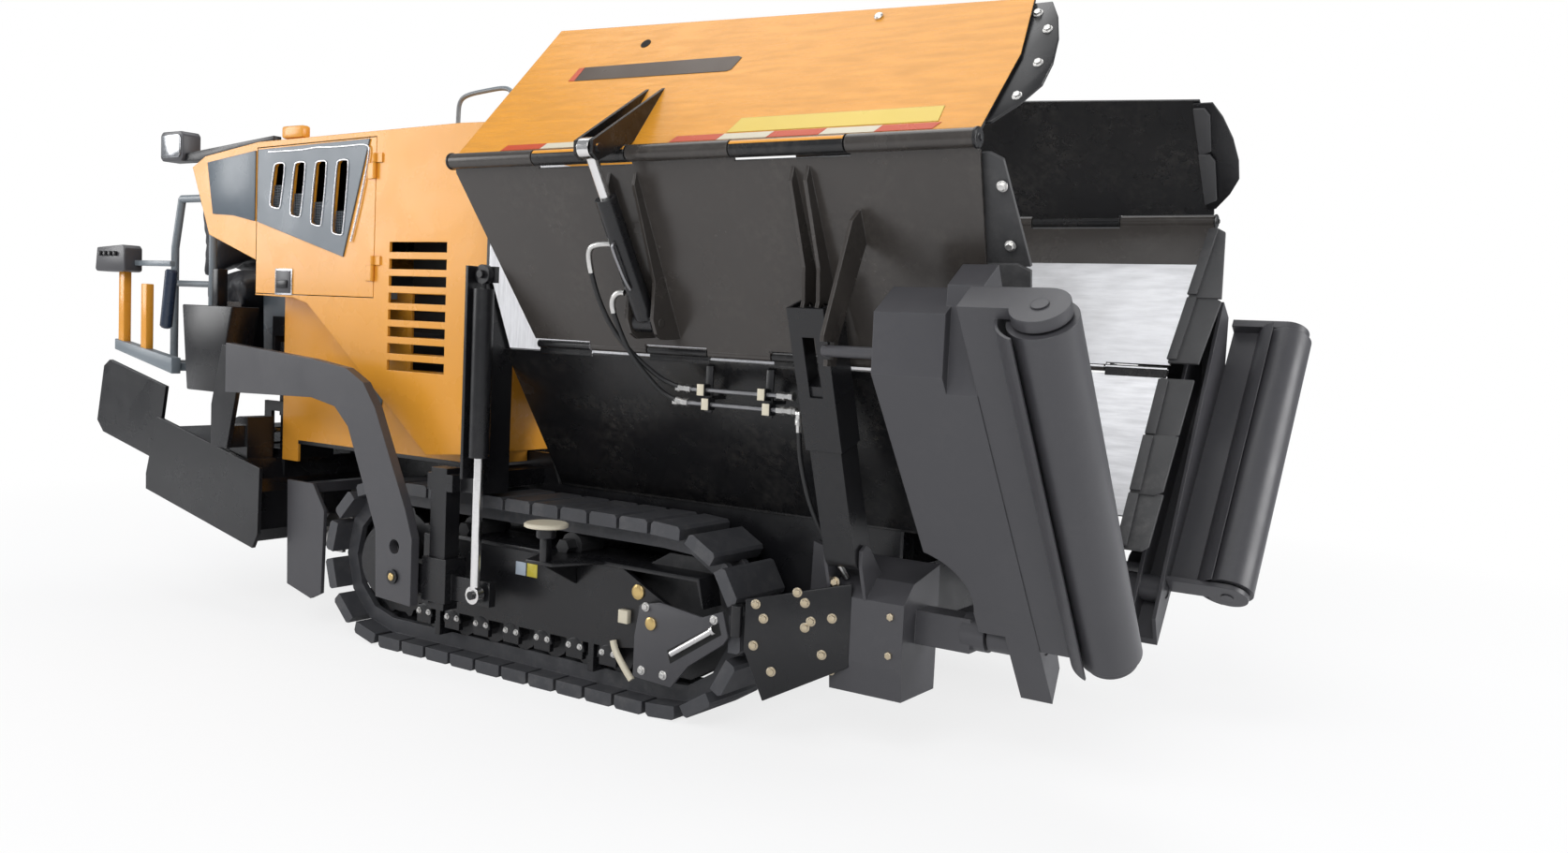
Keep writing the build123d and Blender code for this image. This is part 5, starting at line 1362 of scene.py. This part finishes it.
@dataclass
class DeckTrim(SubAssembly):
    """Steering wheels and levers of the consoles."""

    hub: Outline = ((0.0, 0.045), (0.020, 0.040), (0.060, 0.025), (0.070, 0.020))
    lever: Outline = ((0.0, 0.010), (0.018, 0.007), (0.060, 0.006), (0.062, 0.013), (0.084, 0.014), (0.092, 0.008))
    rows: tuple[float, ...] = (-1.400, -1.460, -1.520)
    columns: tuple[float, ...] = (0.05, 0.10, 0.15, 0.44, 0.49)

    def build(self) -> None:
        """Make the console's fittings."""
        tilt = Vector((-0.5, 0, 0.86))
        hub = self.shop.turned("hub", self.hub, Vector((-1.600, 0.300, 1.520)), tilt, 20)
        self.shop.clear()
        bpy.ops.mesh.primitive_torus_add(
            major_radius=0.150, minor_radius=0.012, major_segments=40, minor_segments=10, location=(0, 0, 0)
        )
        rim = bpy.context.object
        self.shop.edit()
        bpy.ops.transform.resize(value=(1.0, 1.0, 0.9))
        self.shop.close("rim", 60.0)
        rim.data.transform(Matrix.Translation(Vector((-1.636, 0.300, 1.582))) @ turned_to(tilt))
        self.group("steering_wheel", [rim, hub], BLACK)
        levers = []
        for order, x in enumerate(self.rows):
            for y in self.columns:
                if order == 1 or y < 0.12:
                    levers.append(self.shop.turned("lever", self.lever, Vector((x, y, 1.590)), Vector((-0.2, 0, 1)), 12))
        self.group("console_levers", levers, BLACK)


@dataclass
class TowTrim(SubAssembly):
    """Brass cap of the tow arm's pin."""

    cap: Outline = ((0.0, 0.014), (0.004, 0.014), (0.007, 0.010))

    def build(self) -> None:
        """Make the cap."""
        self.fit(self.shop.turned("tow_pin_cap", self.cap, Vector((-0.205, 1.0035, 0.350)), LEFT, 20), BRASS, "tow_heads")


@dataclass
class SeatPads(SubAssembly):
    """Upholstery of the two seats, blown up as cloth over foam."""

    voxel: float = 0.009
    pressure: float = 4.0
    stiffness: float = 40.0
    frames: int = 20
    fill: float = 0.75
    near: float = 0.290
    far: float = 0.650
    seat: Outline = (
        (-1.960, 1.334), (-1.655, 1.334), (-1.640, 1.360), (-1.645, 1.405), (-1.675, 1.426), (-1.940, 1.418),
        (-1.962, 1.400),
    )
    back: Outline = (
        (-1.935, 1.434), (-1.988, 1.434), (-2.046, 1.835), (-2.036, 1.852), (-2.000, 1.850), (-1.990, 1.830),
        (-1.930, 1.560),
    )

    def blown(self, name: str, profile: Outline, low: float, high: float) -> Thing:
        """One pad: a bevelled block, remeshed evenly, and inflated by a cloth simulation.

        Args:
            name: The pad's name.
            profile: Its outline from the side, as X and Z.
            low: Y of one side.
            high: Y of the other side.

        Returns:
            The pad.
        """
        pad = self.shop.plate(name, upright(low).ring(profile), Vector((0.0, high - low, 0.0)), 0.018)
        remesh = pad.modifiers.new("even", "REMESH")
        remesh.mode, remesh.voxel_size = "VOXEL", self.voxel
        bpy.ops.object.modifier_apply(modifier=remesh.name)
        cloth = pad.modifiers.new("fabric", "CLOTH")
        cloth.settings.use_pressure = True
        cloth.settings.uniform_pressure_force = self.pressure
        cloth.settings.effector_weights.gravity = 0.0
        cloth.settings.tension_stiffness = self.stiffness
        cloth.settings.compression_stiffness = self.stiffness
        for frame in range(1, self.frames + 1):
            bpy.context.scene.frame_set(frame)
        bpy.ops.object.modifier_apply(modifier=cloth.name)
        bpy.context.scene.frame_set(1)
        smooth = pad.modifiers.new("smooth", "SMOOTH")
        smooth.iterations = 6
        bpy.ops.object.modifier_apply(modifier=smooth.name)
        bpy.ops.object.shade_smooth()
        return pad

    def pads(self, name: str, node: str, profile: Outline, inset: float) -> None:
        """The pad of both seats, standing for the part's plain one."""
        near, far = self.near + inset, self.far - inset
        things = [self.blown("pad", profile, near, far), self.blown("pad", profile, -far, -near)]
        pad = self.shop.joined(name, things)
        self.shop.fit(pad, SEAT, pair=False)
        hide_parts(node)

    def build(self) -> None:
        """Make the pads."""
        self.pads("seat_pads", "seat_cushions", self.seat, 0.004)
        self.pads("back_pads", "seat_backs", self.back, 0.006)


# ---------- stage ----------
@dataclass
class Studio:
    """Pale floor, white surround, soft lamps and the camera."""

    eye: Point = (3.549, -4.16, 1.31175)
    yaw: float = 123.25
    pitch: float = 4.18
    roll: float = 2.70
    lens: float = 29.86
    reach: float = 60.0

    def floor(self) -> None:
        """A pale floor that looks white and keeps the shadow."""
        bpy.ops.mesh.primitive_plane_add(size=2 * self.reach, location=(0, 0, 0))
        floor = bpy.context.object
        floor.name = "floor"
        bench = NodeBench("studio_floor")
        diffuse = bench.add("ShaderNodeBsdfDiffuse", {"Color": (0.86, 0.86, 0.87, 1.0)})
        glow = bench.add("ShaderNodeEmission", {"Color": (1.0, 1.0, 1.0, 1.0), "Strength": 1.0})
        seen = bench.add("ShaderNodeLightPath").outputs["Is Camera Ray"]
        way = bench.add("ShaderNodeVectorMath", {0: bench.place}, operation="LENGTH").outputs["Value"]
        share = bench.maths("MULTIPLY", seen, bench.ramp(way, 2.6, 6.0, (0.78, 1.0)))
        both = bench.add("ShaderNodeMixShader", {0: share, 1: diffuse.outputs[0], 2: glow.outputs[0]})
        bench.link(both.outputs[0], bench.output.inputs["Surface"])
        floor.data.materials.append(bench.material)

    def surround(self) -> None:
        """White to the eye, and a plain light on the machine and in its reflections."""
        world = bpy.data.worlds.new("surround")
        bpy.context.scene.world = world
        world.use_nodes = True
        tree = world.node_tree
        tree.nodes.clear()
        path = tree.nodes.new("ShaderNodeLightPath")
        seen, lit = (tree.nodes.new("ShaderNodeBackground") for _ in range(2))
        for light, tone, strength in ((seen, (1.0, 1.0, 1.0, 1.0), 1.0), (lit, (0.93, 0.96, 1.0, 1.0), 0.36)):
            light.inputs["Color"].default_value = tone
            light.inputs["Strength"].default_value = strength
        mix = tree.nodes.new("ShaderNodeMixShader")
        out = tree.nodes.new("ShaderNodeOutputWorld")
        tree.links.new(path.outputs["Is Camera Ray"], mix.inputs[0])
        tree.links.new(lit.outputs[0], mix.inputs[1])
        tree.links.new(seen.outputs[0], mix.inputs[2])
        tree.links.new(mix.outputs[0], out.inputs[0])

    def lamp(self, name: str, place: Point, aim: Point, size: float, power: float) -> None:
        """A square soft lamp.

        Args:
            name: The lamp's name.
            place: Where it stands.
            aim: What it points at.
            size: Length of its side, in metres.
            power: Its power, in watts.
        """
        bpy.ops.object.light_add(type="AREA", location=place)
        lamp = bpy.context.object
        lamp.name = name
        lamp.data.shape = "SQUARE"
        lamp.data.size = size
        lamp.data.energy = power
        lamp.rotation_euler = (Vector(aim) - Vector(place)).to_track_quat("-Z", "Y").to_euler()

    def camera(self) -> None:
        """The camera."""
        yaw, pitch, roll = (math.radians(a) for a in (self.yaw, self.pitch, self.roll))
        ahead = Vector((math.cos(yaw) * math.cos(pitch), math.sin(yaw) * math.cos(pitch), -math.sin(pitch)))
        right = Vector((math.sin(yaw), -math.cos(yaw), 0.0))
        up = right.cross(ahead)
        turned_right = right * math.cos(roll) + up * math.sin(roll)
        turned_up = up * math.cos(roll) - right * math.sin(roll)
        data = bpy.data.cameras.new("camera")
        data.sensor_width = 36.0
        data.lens = self.lens
        data.clip_end = 500.0
        camera = bpy.data.objects.new("camera", data)
        bpy.context.scene.collection.objects.link(camera)
        turn = Matrix((turned_right, turned_up, -ahead)).transposed().to_4x4()
        camera.matrix_world = Matrix.Translation(self.eye) @ turn
        bpy.context.scene.camera = camera

    def build(self) -> None:
        """Put up the floor, the surround, the lamps and the camera."""
        self.floor()
        self.surround()
        self.lamp("key", (3.0, -7.5, 6.0), (0.3, 0.0, 1.0), 5.0, 360.0)
        self.lamp("overhead", (-1.0, 0.5, 8.0), (0.0, 0.0, 0.5), 6.0, 230.0)
        self.lamp("front", (8.0, 2.0, 3.5), (1.5, 0.2, 1.0), 4.0, 300.0)
        self.lamp("rear", (-7.0, -5.0, 3.5), (-1.2, 0.0, 1.0), 4.0, 260.0)
        self.camera()
        bpy.context.scene.view_settings.view_transform = "Standard"


def corners(box: object) -> list[list[float]]:
    """A box's two corners as plain lists."""
    return [list(map(float, corner)) for corner in box]


GROUPS: tuple[type[SubAssembly], ...] = (
    HopperFlaps,
    WingMarkings,
    BendPipe,
    WallCylinderLines,
    DoorTrim,
    HoodTrim,
    TrackFrameTrim,
    FrontGuard,
    SideStand,
    DeckTrim,
    TowTrim,
    SeatPads,
)


def main() -> None:
    """Load the part, dress it, add its pieces and set the stage."""
    logging.basicConfig(level=logging.INFO, format="%(name)s: %(message)s")
    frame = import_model()
    bpy.ops.object.select_all(action="DESELECT")
    dress_nodes(frame["nodes"])
    shop = Workshop()
    for kind in GROUPS:
        kind(shop).build()
    LOG.info("%d pieces modelled, %d triangles", shop.pieces, shop.triangles)
    Studio().build()


if __name__ == "__main__":
    main()
